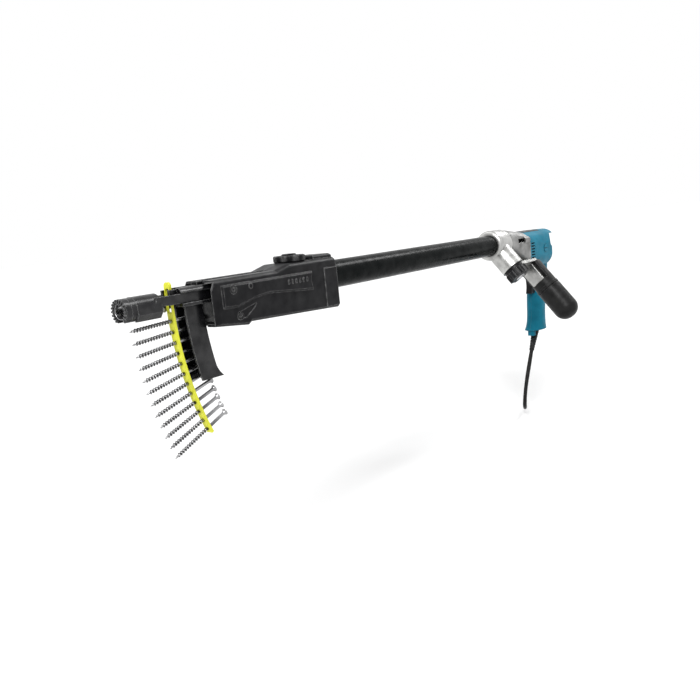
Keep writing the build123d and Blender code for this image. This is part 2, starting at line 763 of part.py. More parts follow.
def dress_side(body, side):
    """Add one side's raised panel, ribs, rear band and stub, and cut its bevel, pocket and screw seats."""
    inside = HOUSING_HALF - FREE_GAP
    panel_face = HOUSING_HALF + PANEL_PROUD
    panel = side_shape(SIDE_PANEL, side, inside, panel_face)
    outer = panel.faces().sort_by(Axis.Y)[-1 if side > 0 else 0]
    body += chamfer(outer.edges(), PANEL_EDGE)
    low = HOUSING_KEEL + HOUSING_SILL
    band_start = HOUSING_LENGTH - BAND_BACK
    band = [(band_start, BAND_TOP), (band_start, low), (HOUSING_LENGTH, low), (HOUSING_LENGTH, BAND_TOP)]
    body += side_shape(band, side, inside, HOUSING_HALF + BAND_PROUD)
    for index in range(RIB_COUNT):
        start = RIB_STATION + index * RIB_PITCH
        end = start + RIB_WIDTH
        rib = [(start, RIB_Z - RIB_HEIGHT / 2), (start, RIB_Z + RIB_HEIGHT / 2),
               (end, RIB_Z + RIB_HEIGHT / 2), (end, RIB_Z - RIB_HEIGHT / 2)]
        body += side_shape(rib, side, inside, panel_face + RIB_PROUD)
    body += side_disc(STUB_R, SIDE_STUB, side, inside, panel_face + RIB_PROUD)
    body -= side_shape(SIDE_POCKET, side, HOUSING_HALF - POCKET_DEPTH, 2 * HOUSING_HALF)
    body -= side_disc(SEAT_R, SIDE_SEATS[0], side, panel_face - SEAT_DEPTH, 2 * HOUSING_HALF)
    body -= side_disc(SEAT_R, SIDE_SEATS[1], side, HOUSING_HALF - SEAT_DEPTH, 2 * HOUSING_HALF)
    corner = [(X_HOUSING, side * (HOUSING_HALF - BEVEL_DEPTH)),
              (X_HOUSING + BEVEL_LENGTH, side * HOUSING_HALF),
              (X_HOUSING + BEVEL_LENGTH, side * 2 * HOUSING_HALF), (X_HOUSING, side * 2 * HOUSING_HALF)]
    bevel = extrude(make_face(Polyline(*corner, close=True)), amount=2 * HOUSING_HALF, both=True)
    return body - bevel


def housing_hollow():
    """The chamber that the carriage slides in, its slots and the pole's socket."""
    inner = HOUSING_HALF - HOUSING_WALL
    chamber_end = X_HOUSING_REAR - CHAMBER_BACK
    hollow = block(X_HOUSING - FREE_GAP, chamber_end, -inner, inner, HOUSING_FLOOR, HOUSING_CEILING)
    hollow += block(X_HOUSING - FREE_GAP, X_HOUSING + TOP_SLOT_LENGTH, -TOP_SLOT_HALF, TOP_SLOT_HALF,
                    0, HUMP_TOP)
    hollow += block(X_HOUSING - FREE_GAP, X_HOUSING + BOTTOM_SLOT_LENGTH, -BOTTOM_SLOT_HALF,
                    BOTTOM_SLOT_HALF,
                    2 * HOUSING_KEEL, 0)
    hollow += rod(POLE_OD / 2 + SEAT_GAP, chamber_end - FREE_GAP, X_HOUSING_REAR + FREE_GAP)
    dial_x = X_HOUSING_REAR - DIAL_BACK
    stem = Cylinder(DIAL_STEM_R + RUN_GAP, HUMP_TOP, align=(Align.CENTER, Align.CENTER, Align.MIN))
    hollow += Pos(dial_x, 0, 0) * stem
    return hollow


def make_housing_shell(side):
    shell = housing_solid() - housing_hollow()
    reach = 4 * HOUSING_HALF
    y_low, y_high = sorted((0, side * reach))
    return shell & block(X_HOUSING - reach, X_HOUSING_REAR + reach, y_low, y_high, -reach, reach)


def make_slide_rail(side):
    inner_wall = HOUSING_HALF - HOUSING_WALL - SEAT_GAP
    start = X_HOUSING + HOUSING_WALL
    end = X_HOUSING_REAR - CHAMBER_BACK - SEAT_GAP
    y_low, y_high = sorted((side * (CARRIAGE_HALF + SLIDE_GAP), side * inner_wall))
    rail = block(start, end, y_low, y_high, RAIL_Z - RAIL_HALF, RAIL_Z + RAIL_HALF)
    y_low, y_high = sorted((side * (CARRIAGE_HALF - RAIL_TONGUE), side * (CARRIAGE_HALF + SLIDE_GAP)))
    rail += block(start, end, y_low, y_high, RAIL_Z - RAIL_TONGUE_HALF, RAIL_Z + RAIL_TONGUE_HALF)
    if side > 0:
        rail += cam_ramp(inner_wall)
    return rail


def cam_ramp(inner_wall):
    """The slope that lifts the lever's roller as the carriage goes back."""
    rise = LEVER_TAIL * sin(radians(LEVER_SWING))
    under = LEVER_Z - ROLLER_R - SLIDE_GAP / 2
    start = (X_ROLLER - ROLLER_R, under - rise * ROLLER_R / CARRIAGE_STROKE)
    end = (X_ROLLER + CARRIAGE_STROKE + ROLLER_R,
           under + rise * (1 + ROLLER_R / CARRIAGE_STROKE) - SLIDE_GAP)
    outline = Polyline((start[0], RAIL_Z), start, end, (end[0], RAIL_Z), close=True)
    return side_plate(make_face(outline), ROLLER_NEAR + LEVER_PIN_HEAD + SLIDE_GAP, inner_wall)


def make_depth_dial():
    dial = lobed(DIAL_R, DIAL_LOBE_R, DIAL_LOBES, DIAL_HEIGHT)
    dial += Pos(0, 0, DIAL_HEIGHT + DIAL_CAP_HEIGHT / 2) * Cylinder(DIAL_CAP_R, DIAL_CAP_HEIGHT)
    stem_length = HOUSING_DECK - HOUSING_CEILING - SLIDE_GAP
    dial += Pos(0, 0, -stem_length / 2) * Cylinder(DIAL_STEM_R, stem_length)
    return Pos(X_HOUSING_REAR - DIAL_BACK, 0, HOUSING_DECK + SLIDE_GAP) * dial


# Pole and drive shaft

def make_pole_tube():
    return ring(POLE_OD / 2, POLE_OD / 2 - POLE_WALL, X_HOUSING_REAR - POLE_IN_HOUSING, X_GEAR)


def make_front_bush():
    front = X_HOUSING_REAR - POLE_IN_HOUSING
    bush = rod(POLE_OD / 2 - POLE_WALL - SEAT_GAP, front, front + BUSH_LENGTH)
    bush += rod(POLE_OD / 2, front - BUSH_FLANGE, front)
    return bush - rod(MANDREL_R + RUN_GAP, front - 2 * BUSH_FLANGE, front + 2 * BUSH_LENGTH)


def make_driver_bit():
    tip = X_NOSE + BIT_STATION
    end = X_NOSE + MANDREL_STATION + BIT_SOCKET
    bit = rod(BIT_R, tip, end - SEAT_GAP)
    return chamfer(bit.edges().sort_by(Axis.X)[0], BIT_R * 0.4)


def make_mandrel():
    front = X_NOSE + MANDREL_STATION
    rear = X_GEAR - SPINDLE_NOSE + SPINDLE_SOCKET - SEAT_GAP
    rod_body = rod(MANDREL_R, front, rear)
    return rod_body - rod(BIT_R + SEAT_GAP, front - FREE_GAP, front + BIT_SOCKET)


def make_spindle():
    front = X_GEAR - SPINDLE_NOSE
    rear = X_GEAR + PLATE_FRONT + PLATE_THICKNESS - SEAT_GAP
    spindle = rod(SPINDLE_R, front, rear)
    return spindle - rod(MANDREL_R + SEAT_GAP, front - FREE_GAP, front + SPINDLE_SOCKET)


def gear(teeth, width, phase):
    """A spur gear standing on the XY plane, with straight tooth flanks."""
    pitch_r = GEAR_MODULE * teeth / 2
    tip_r = pitch_r + GEAR_MODULE * GEAR_ADDENDUM
    root_r = pitch_r - GEAR_MODULE * GEAR_DEDENDUM
    half = (pi * GEAR_MODULE - GEAR_BACKLASH) / 4
    flank = tan(radians(PRESSURE_ANGLE))
    tip_half = half - (tip_r - pitch_r) * flank
    root_half = half + (pitch_r - root_r) * flank
    points = []
    for index in range(teeth):
        turn = radians(phase + FULL_TURN * index / teeth)
        for r, w in ((root_r, -root_half), (tip_r, -tip_half), (tip_r, tip_half), (root_r, root_half)):
            points.append((r * cos(turn) - w * sin(turn), r * sin(turn) + w * cos(turn)))
    return extrude(make_face(Polyline(*points, close=True)), amount=width)


def make_spindle_gear():
    start = X_GEAR + GEAR_FRONT
    wheel = Pos(start, 0, 0) * Rot(0, 90, 0) * gear(GEAR_TEETH, GEAR_WIDTH, 0)
    return wheel - rod(SPINDLE_R + SEAT_GAP, start - FREE_GAP, start + GEAR_WIDTH + FREE_GAP)


def make_spindle_bearings():
    front = X_GEAR - SPIGOT_LENGTH
    outer = SPIGOT_BORE_R
    inner = SPINDLE_R + RUN_GAP
    rings = [
        ring(outer, inner, front + FREE_GAP, front + FREE_GAP + BEARING_LENGTH),
        ring(outer, inner, X_GEAR - BEARING_LENGTH, X_GEAR),
    ]
    return Compound(rings)


# Gear case and the plate that carries the armature's front bearing

GEAR_CAVITY_R = GEAR_MODULE * (GEAR_TEETH / 2 + 1) + GEAR_ROOM
X_PLATE = X_GEAR + PLATE_FRONT
X_PLATE_REAR = X_PLATE + PLATE_THICKNESS


def body_section(shrink):
    """Cross-section of the motor body, shrunk on every side."""
    outline = RectangleRounded(BODY_WIDTH - 2 * shrink, BODY_HEIGHT - 2 * shrink, BODY_CORNER - shrink)
    return Pos(0, ARMATURE_Z) * outline


def gear_cavity(shrink, x_from, x_to):
    """The space behind the gears, which the bearing plate closes."""
    upper = rod(GEAR_CAVITY_R - shrink, x_from, min(x_to, X_PLATE_REAR))
    return upper + rod(BEARING_ROOM_R - shrink, x_from, x_to, z=ARMATURE_Z)


def make_gear_case():
    nose = Plane.YZ.offset(X_GEAR) * RectangleRounded(CASE_FRONT_SIZE, CASE_FRONT_SIZE, CASE_FRONT_CORNER)
    rear = Plane.YZ.offset(X_MOTOR) * body_section(0)
    case = loft([nose, rear])
    for side in (-1, 1):
        case += rod(CASE_LUG_R, X_MOTOR - CASE_LUG_LENGTH, X_MOTOR, side * CASE_LUG_Y, CASE_LUG_Z)
        case -= rod(CASE_LUG_BORE, X_MOTOR - 2 * CASE_LUG_LENGTH,
                    X_MOTOR - CASE_LUG_LENGTH + CASE_LUG_POCKET,
                    side * CASE_LUG_Y, CASE_LUG_Z)
    case += rod(POLE_OD / 2 - POLE_WALL - SEAT_GAP, X_GEAR - SPIGOT_LENGTH, X_GEAR + CASE_FLOOR)
    case -= rod(GEAR_CAVITY_R, X_GEAR + CASE_FLOOR, X_PLATE)
    case -= rod(PINION_ROOM_R, X_GEAR + CASE_FLOOR, X_PLATE, z=ARMATURE_Z)
    case -= gear_cavity(0, X_PLATE, X_MOTOR + FREE_GAP)
    return case - rod(SPIGOT_BORE_R + SEAT_GAP, X_GEAR - SPIGOT_LENGTH - FREE_GAP,
                      X_GEAR + CASE_FLOOR + FREE_GAP)


def make_bearing_plate():
    plate = gear_cavity(SEAT_GAP, X_PLATE, X_PLATE_REAR)
    plate -= rod(SPINDLE_R + RUN_GAP, X_PLATE - FREE_GAP, X_PLATE_REAR + FREE_GAP)
    return plate - rod(FRONT_BEARING_R + SEAT_GAP, X_PLATE - FREE_GAP, X_PLATE_REAR + FREE_GAP,
                       z=ARMATURE_Z)


# Motor: armature, field and two half shells that run on into the grip

X_REAR = -BODY_REAR
X_SHAFT_END = X_REAR - BODY_REAR_WALL + BEARING_LENGTH + FREE_GAP


def make_armature_shaft():
    pinion_start = X_GEAR + GEAR_FRONT
    shaft = rod(SHAFT_R, pinion_start + GEAR_WIDTH, X_SHAFT_END, z=ARMATURE_Z)
    phase = HALF_TURN / PINION_TEETH
    shaft += Pos(pinion_start, 0, ARMATURE_Z) * Rot(0, 90, 0) * gear(PINION_TEETH, GEAR_WIDTH + FREE_GAP,
                                                                     phase)
    return shaft


def make_armature_core():
    start = X_MOTOR + ARMATURE_START
    core = ring(ARMATURE_R, SHAFT_R + SEAT_GAP, start, start + ARMATURE_LENGTH, z=ARMATURE_Z)
    return chamfer(core.edges().filter_by(GeomType.CIRCLE).sort_by(SortBy.RADIUS)[-2:], BODY_WALL)


def make_commutator():
    start = X_MOTOR + COMMUTATOR_START
    return ring(COMMUTATOR_R, SHAFT_R + SEAT_GAP, start, start + COMMUTATOR_LENGTH, z=ARMATURE_Z)


def make_cooling_fan():
    start = X_MOTOR + FAN_START
    hub_r = SHAFT_R * 2.5
    fan = rod(FAN_R, start, start + BODY_WALL / 2, z=ARMATURE_Z)
    fan += rod(hub_r, start, start + FAN_LENGTH, z=ARMATURE_Z)
    blade = block(start, start + FAN_LENGTH, -FREE_GAP / 2, FREE_GAP / 2, hub_r - 1, FAN_R)
    for turn in range(FAN_BLADES):
        fan += Pos(0, 0, ARMATURE_Z) * Rot(FULL_TURN * turn / FAN_BLADES, 0, 0) * blade
    return fan - rod(SHAFT_R + SEAT_GAP, start - FREE_GAP, start + 2 * FAN_LENGTH, z=ARMATURE_Z)


def make_armature_bearings():
    inner = SHAFT_R + RUN_GAP
    rear = X_REAR - BODY_REAR_WALL
    front = ring(FRONT_BEARING_R, inner, X_PLATE + FREE_GAP, X_PLATE_REAR - FREE_GAP, z=ARMATURE_Z)
    return Compound([front, ring(REAR_BEARING_R, inner, rear, rear + BEARING_LENGTH, z=ARMATURE_Z)])


def make_field_core():
    start = X_MOTOR + ARMATURE_START
    width = BODY_WIDTH - 2 * BODY_WALL - 2 * SEAT_GAP
    outline = Pos(0, ARMATURE_Z) * RectangleRounded(width, FIELD_HEIGHT, FIELD_CORNER)
    core = section(outline, start, start + ARMATURE_LENGTH)
    return core - rod(ARMATURE_R + AIR_GAP, start - FREE_GAP, start + ARMATURE_LENGTH + FREE_GAP,
                      z=ARMATURE_Z)


def grip_loft(shrink, z_top, z_bottom):
    """The grip as a loft of ovals, cut to a range of heights."""
    ovals = []
    for z, x, half_length, half_width in GRIP_SECTIONS:
        ovals.append(Plane.XY.offset(z) * Pos(x, 0) * Ellipse(half_length - shrink, half_width - shrink))
    grip = loft(ovals)
    reach = 2 * BODY_WIDTH
    return grip & block(-reach - MOTOR_LENGTH, reach, -reach, reach, z_bottom, z_top)


GRIP_TOP = GRIP_SECTIONS[0][0]
GRIP_BOTTOM = GRIP_SECTIONS[-1][0]
GRIP_FOOT_X = GRIP_SECTIONS[-1][1]


def motor_solid():
    body = section(body_section(0), X_MOTOR, X_REAR)
    body = fillet(body.faces().sort_by(Axis.X)[-1].edges(), BODY_REAR_EDGE)
    body -= cross_pin(SADDLE_R, X_REAR + SADDLE_R - SADDLE_DEPTH, -BODY_WIDTH, BODY_WIDTH, SADDLE_Z)
    beak = section(body_section(0), X_REAR - SADDLE_DEPTH, X_REAR + BEAK_REACH)
    beak = fillet(beak.faces().sort_by(Axis.X)[-1].edges(), BEAK_EDGE)
    body += beak & block(-BODY_HEIGHT, BODY_HEIGHT, -BODY_WIDTH, BODY_WIDTH, SADDLE_Z + SADDLE_R,
                         BODY_HEIGHT)
    lug = block(LUG_FRONT, LUG_FRONT + LUG_LENGTH, -LUG_HALF, LUG_HALF, GRIP_BOTTOM - LUG_DROP,
                GRIP_BOTTOM + GRIP_WALL)
    lug = fillet(lug.edges().filter_by(Axis.Z), LUG_HALF / 2)
    return body + lug + grip_loft(0, GRIP_TOP, GRIP_BOTTOM)


def guard_place():
    """Where the cord guard leaves the foot of the grip, along the grip's rake."""
    return Pos(GRIP_FOOT_X, 0, GRIP_BOTTOM) * Rot(0, HALF_TURN + GUARD_RAKE, 0)


def motor_hollow():
    hollow = section(body_section(BODY_WALL), X_MOTOR - FREE_GAP, X_REAR - BODY_REAR_WALL)
    hollow += grip_loft(GRIP_WALL, GRIP_TOP, GRIP_BOTTOM + GRIP_WALL)
    hollow += rod(REAR_BEARING_R + SEAT_GAP, X_REAR - 2 * BODY_REAR_WALL, X_SHAFT_END + FREE_GAP,
                  z=ARMATURE_Z)
    for side in (-1, 1):
        y_low, y_high = sorted((side * (SWITCH_HALF + SEAT_GAP), side * BODY_WIDTH))
        hollow -= block(X_SWITCH, X_SWITCH + SWITCH_LENGTH / 2, y_low, y_high,
                        TRIGGER_Z - SWITCH_RIB, TRIGGER_Z + SWITCH_RIB)
    half = TRIGGER_HALF + SLIDE_GAP
    z_half = TRIGGER_HEIGHT / 2 + SLIDE_GAP
    hollow += block(TRIGGER_FRONT, TRIGGER_REAR + TRIGGER_TRAVEL + FREE_GAP, -half, half,
                    TRIGGER_Z - z_half, TRIGGER_Z + z_half)
    slot_half = REVERSE_HALF + REVERSE_REACH * tan(radians(REVERSE_SWING)) + SLIDE_GAP
    z_half = REVERSE_HEIGHT / 2 + SLIDE_GAP
    hollow += block(REVERSE_X - REVERSE_REACH, REVERSE_X + REVERSE_HALF, -slot_half, slot_half,
                    REVERSE_Z - z_half, REVERSE_Z + z_half)
    hollow += cross_pin(LOCK_R + SLIDE_GAP, LOCK_X, -BODY_WIDTH / 2, 0, LOCK_Z)
    hollow += guard_place() * Cylinder(GUARD_ROOT_R + SEAT_GAP, 4 * GUARD_FLANGE)
    vent_bottom = ARMATURE_Z - VENT_PITCH * (VENT_COUNT - 1) / 2
    for index in range(VENT_COUNT):
        z = vent_bottom + index * VENT_PITCH
        hollow += block(X_MOTOR + VENT_STATION, X_MOTOR + VENT_STATION + VENT_LENGTH, -BODY_WIDTH,
                        BODY_WIDTH,
                        z - VENT_HEIGHT / 2, z + VENT_HEIGHT / 2)
    brush_x = X_MOTOR + COMMUTATOR_START + COMMUTATOR_LENGTH / 2
    return hollow + cross_pin(BRUSH_CAP_R + SEAT_GAP, brush_x, -BODY_WIDTH, BODY_WIDTH, ARMATURE_Z)


def make_motor_shells():
    shell = motor_solid() - motor_hollow()
    reach = 4 * BODY_WIDTH
    left = shell & block(-reach, reach, -reach, 0, -reach, reach)
    return left, shell & block(-reach, reach, 0, reach, -reach, reach)


def make_brush_caps():
    brush_x = X_MOTOR + COMMUTATOR_START + COMMUTATOR_LENGTH / 2
    outer = BODY_WIDTH / 2 + BRUSH_CAP_PROUD
    inner = outer - BRUSH_CAP_LENGTH
    cap = cross_pin(BRUSH_CAP_R, brush_x, inner, outer, ARMATURE_Z)
    cap -= block(brush_x - BRUSH_CAP_R, brush_x + BRUSH_CAP_R, outer - 1, outer + 1, ARMATURE_Z - 1,
                 ARMATURE_Z + 1)
    return Compound([cap, Pos(0, 0, 2 * ARMATURE_Z) * Rot(HALF_TURN, 0, 0) * cap])


def make_trigger():
    z_low = TRIGGER_Z - TRIGGER_HEIGHT / 2
    z_high = TRIGGER_Z + TRIGGER_HEIGHT / 2
    finger = ThreePointArc((TRIGGER_FRONT, z_low), (TRIGGER_FRONT + TRIGGER_HOLLOW, TRIGGER_Z),
                           (TRIGGER_FRONT, z_high))
    outline = make_face([finger,
                         Polyline((TRIGGER_FRONT, z_high), (TRIGGER_REAR, z_high), (TRIGGER_REAR, z_low),
                                          (TRIGGER_FRONT, z_low))])
    trigger = side_plate(outline, -TRIGGER_HALF, TRIGGER_HALF)
    return fillet(trigger.edges().filter_by(GeomType.CIRCLE), FREE_GAP)


def make_switch_body():
    z_half = SWITCH_HEIGHT / 2
    top = TRIGGER_Z + z_half
    switch = block(X_SWITCH, X_SWITCH + SWITCH_LENGTH, -SWITCH_HALF, SWITCH_HALF, TRIGGER_Z - z_half, top)
    lever_under = REVERSE_Z - REVERSE_HEIGHT / 2 - SLIDE_GAP
    switch += block(REVERSE_X - REVERSE_HALF + FREE_GAP, X_SWITCH + SWITCH_LENGTH / 2, -REVERSE_HALF,
                    REVERSE_HALF, top, lever_under)
    post = Cylinder(REVERSE_PIN_R, REVERSE_HEIGHT + SLIDE_GAP,
                    align=(Align.CENTER, Align.CENTER, Align.MIN))
    return switch + Pos(REVERSE_X, 0, lever_under) * post


def make_lock_button():
    outer = -GRIP_SECTIONS[2][3] - LOCK_PROUD
    button = cross_pin(LOCK_R, LOCK_X, outer, outer + LOCK_LENGTH, LOCK_Z)
    return chamfer(button.edges().sort_by(Axis.Y)[0], FREE_GAP)


def make_reverse_lever():
    z_half = REVERSE_HEIGHT / 2
    lever = block(REVERSE_X - REVERSE_REACH, REVERSE_X, -REVERSE_HALF, REVERSE_HALF, REVERSE_Z - z_half,
                  REVERSE_Z + z_half)
    lever = fillet(lever.faces().sort_by(Axis.X)[0].edges().filter_by(Axis.Z), REVERSE_HALF / 2)
    pivot = Pos(REVERSE_X, 0, REVERSE_Z)
    lever += pivot * Cylinder(REVERSE_HALF, REVERSE_HEIGHT)
    return lever - pivot * Cylinder(REVERSE_PIN_R + RUN_GAP, 2 * REVERSE_HEIGHT)


# Collar, boss and side handle, by heights along the boss

ARM_FACE = BOSS_END + SLIDE_GAP + ARM_THICKNESS
KNOB_BASE = ARM_FACE + SLIDE_GAP
HANDLE_BASE = ARM_FACE + SEAT_GAP
GRIP_BASE = HANDLE_BASE + HANDLE_SLEEVE + SEAT_GAP


def make_handle_bracket():
    collar = rod(COLLAR_R, X_COLLAR, X_COLLAR_REAR)
    collar = fillet(collar.edges().sort_by(Axis.X)[0], COLLAR_EDGE)
    boss = Cylinder(BOSS_R, BOSS_END, align=(Align.CENTER, Align.CENTER, Align.MIN))
    bracket = collar + on_boss(boss)
    bracket -= rod(POLE_OD / 2 + SEAT_GAP, X_COLLAR - FREE_GAP, X_COLLAR_REAR + FREE_GAP)
    stud_hole = Pos(0, 0, BOSS_END - STUD_LENGTH / 2) * Cylinder(
        STUD_R + RUN_GAP, STUD_LENGTH, align=(Align.CENTER, Align.CENTER, Align.MIN))
    return bracket - on_boss(stud_hole)


def make_handle_arm():
    """A flat arm on the boss, bent into a tongue that lies on the front of the side handle."""
    bottom = BOSS_END + SLIDE_GAP
    plate = Pos(ARM_LENGTH / 2, 0) * SlotCenterToCenter(ARM_LENGTH, 2 * ARM_HALF)
    arm = Pos(0, 0, bottom) * extrude(plate, amount=ARM_THICKNESS)
    tongue_top = ARM_FACE + TONGUE_LENGTH
    tongue = Pos(ARM_LENGTH - TONGUE_AHEAD, 0, (bottom + tongue_top) / 2) * Box(
        TONGUE_THICKNESS, 2 * TONGUE_HALF, tongue_top - bottom)
    arm += tongue
    hole = Pos(0, 0, bottom) * Cylinder(STUD_R + RUN_GAP, 4 * ARM_THICKNESS)
    return on_boss(arm - hole)


def make_clamp_stud():
    stud = Cylinder(STUD_R, STUD_LENGTH, align=(Align.CENTER, Align.CENTER, Align.MIN))
    return on_boss(Pos(0, 0, BOSS_END - STUD_LENGTH / 2 + SLIDE_GAP) * stud)


def make_clamp_knob():
    knob = lobed(KNOB_R, KNOB_LOBE_R, KNOB_LOBES, KNOB_HEIGHT)
    blind = BOSS_END + STUD_LENGTH / 2 + 2 * SLIDE_GAP - KNOB_BASE
    knob -= Pos(0, 0, blind / 2) * Cylinder(STUD_R + SEAT_GAP, blind)
    return on_boss(Pos(0, 0, KNOB_BASE) * knob)


def make_handle_sleeve():
    """The handle's core, with a flat for the tongue and a spigot for the rubber grip."""
    sleeve = Cylinder(SLEEVE_HANDLE_R, HANDLE_SLEEVE, align=(Align.CENTER, Align.CENTER, Align.MIN))
    flat = TONGUE_AHEAD - TONGUE_THICKNESS / 2 - SEAT_GAP
    sleeve -= Pos(-flat - HANDLE_R / 2, 0, 0) * Box(HANDLE_R, 4 * HANDLE_R, 2 * TONGUE_LENGTH)
    spigot = Cylinder(HANDLE_SPIGOT_R, HANDLE_SPIGOT, align=(Align.CENTER, Align.CENTER, Align.MIN))
    sleeve += Pos(0, 0, HANDLE_SLEEVE) * spigot
    return on_boss(Pos(0, 0, HANDLE_BASE) * sleeve, ARM_LENGTH)


def make_handle_grip():
    grip = Cylinder(HANDLE_R, HANDLE_GRIP, align=(Align.CENTER, Align.CENTER, Align.MIN))
    grip = fillet(grip.edges().sort_by(Axis.Z)[-1], HANDLE_END)
    groove = Cylinder(2 * HANDLE_R, GROOVE_WIDTH) - Cylinder(HANDLE_R - GROOVE_DEPTH, GROOVE_WIDTH)
    grip -= Pos(0, 0, GROOVE_START) * groove
    grip -= Cylinder(HANDLE_SPIGOT_R + SEAT_GAP, 2 * HANDLE_SPIGOT)
    return on_boss(Pos(0, 0, GRIP_BASE) * grip, ARM_LENGTH)


# Belt clip, cord and plug

def make_belt_clip():
    side = BODY_WIDTH / 2
    start = X_MOTOR + CLIP_START
    z_half = CLIP_WIDTH / 2
    foot = block(start, start + CLIP_FOOT, side, side + CLIP_THICKNESS, ARMATURE_Z - z_half,
                 ARMATURE_Z + z_half)
    outer = side + CLIP_GAP
    spring = block(start + CLIP_FOOT - CLIP_THICKNESS, start + CLIP_LENGTH, outer, outer + CLIP_THICKNESS,
                   ARMATURE_Z - z_half, ARMATURE_Z + z_half)
    step = block(start + CLIP_FOOT - CLIP_THICKNESS, start + CLIP_FOOT, side, outer + CLIP_THICKNESS,
                 ARMATURE_Z - z_half, ARMATURE_Z + z_half)
    return foot + step + spring


def make_cord_guard():
    flange = Pos(0, 0, -GUARD_FLANGE) * Cylinder(GUARD_ROOT_R, 2 * GUARD_FLANGE)
    taper = Cone(GUARD_ROOT_R, GUARD_TIP_R, GUARD_LENGTH, align=(Align.CENTER, Align.CENTER, Align.MIN))
    return guard_place() * (flange + taper)


def guard_point(distance):
    """A point on the guard's axis, by its distance from the grip."""
    rake = radians(GUARD_RAKE)
    return GRIP_FOOT_X - distance * sin(rake), 0, GRIP_BOTTOM - distance * cos(rake)


CORD_PATH = [guard_point(GUARD_LENGTH), guard_point(GUARD_LENGTH + CORD_DROP)] + CORD_ROUTE


def cord_radii(route):
    """The largest arc that the two runs at each corner leave room for."""
    radii = []
    for before, at, after in zip(route, route[1:], route[2:]):
        into = Vector(*at) - Vector(*before)
        out = Vector(*after) - Vector(*at)
        turn = into.get_angle(out)
        radii.append(0.45 * min(into.length, out.length) / tan(radians(turn / 2)))
    return radii


def make_cord_lead():
    path = FilletPolyline(*CORD_PATH, radius=cord_radii(CORD_PATH))
    start = Plane(origin=path @ 0, z_dir=path % 0)
    return sweep(start * RegularPolygon(CORD_R, CORD_SIDES), path=path)


def make_cord_hank():
    """The rest of the cord as one ring, as wide and thick as its turns."""
    width = 2 * CORD_R * HANK_NESTED
    outline = SlotOverall(HANK_LENGTH, HANK_HEIGHT) - SlotOverall(HANK_LENGTH - 2 * width,
                                                                  HANK_HEIGHT - 2 * width)
    return side_plate(Pos(HANK_X, HANK_Z) * outline, HANK_NEAR, HANK_NEAR + HANK_THICKNESS)


def make_cord_tie():
    """A strap round the hank and through the belt clip."""
    x_from = TIE_X - TIE_WIDTH / 2
    x_to = TIE_X + TIE_WIDTH / 2
    y_far = HANK_NEAR + HANK_THICKNESS + SEAT_GAP
    y_near = BODY_WIDTH / 2 + CLIP_GAP - SEAT_GAP - TIE_THICKNESS
    z_low = HANK_Z - HANK_HEIGHT / 2 - SEAT_GAP
    z_high = HANK_Z + HANK_HEIGHT / 2 + SEAT_GAP
    tie = block(x_from, x_to, y_near, y_far + TIE_THICKNESS, z_low - TIE_THICKNESS, z_high + TIE_THICKNESS)
    return tie - block(x_from - 1, x_to + 1, y_near + TIE_THICKNESS, y_far, z_low, z_high)


def make_plug():
    """The plug lies on the tie, in line with the hank's inner turn."""
    y_near = HANK_NEAR + HANK_THICKNESS + TIE_THICKNESS + 2 * SEAT_GAP
    y_mid = y_near + PLUG_WIDTH / 2
    z_mid = HANK_Z + HANK_HEIGHT / 2 - 2 * CORD_R * HANK_NESTED + CORD_R
    z_half = PLUG_HEIGHT / 2
    front = PLUG_X - PLUG_LENGTH
    body = block(front, PLUG_X, y_near, y_near + PLUG_WIDTH, z_mid - z_half, z_mid + z_half)
    body = fillet(body.edges().filter_by(Axis.X), PLUG_WIDTH / 4)
    neck = Rot(0, 90, 0) * Cone(PLUG_WIDTH / 3, CORD_R + FREE_GAP, PLUG_NECK)
    body += Pos(PLUG_X + PLUG_NECK / 2, y_mid, z_mid) * neck
    for side in (-1, 1):
        pin = Box(PIN_LENGTH, PIN_WIDTH, PIN_THICKNESS)
        body += Pos(front - PIN_LENGTH / 2, y_mid, z_mid + side * PIN_SPACING / 2) * pin
    return body


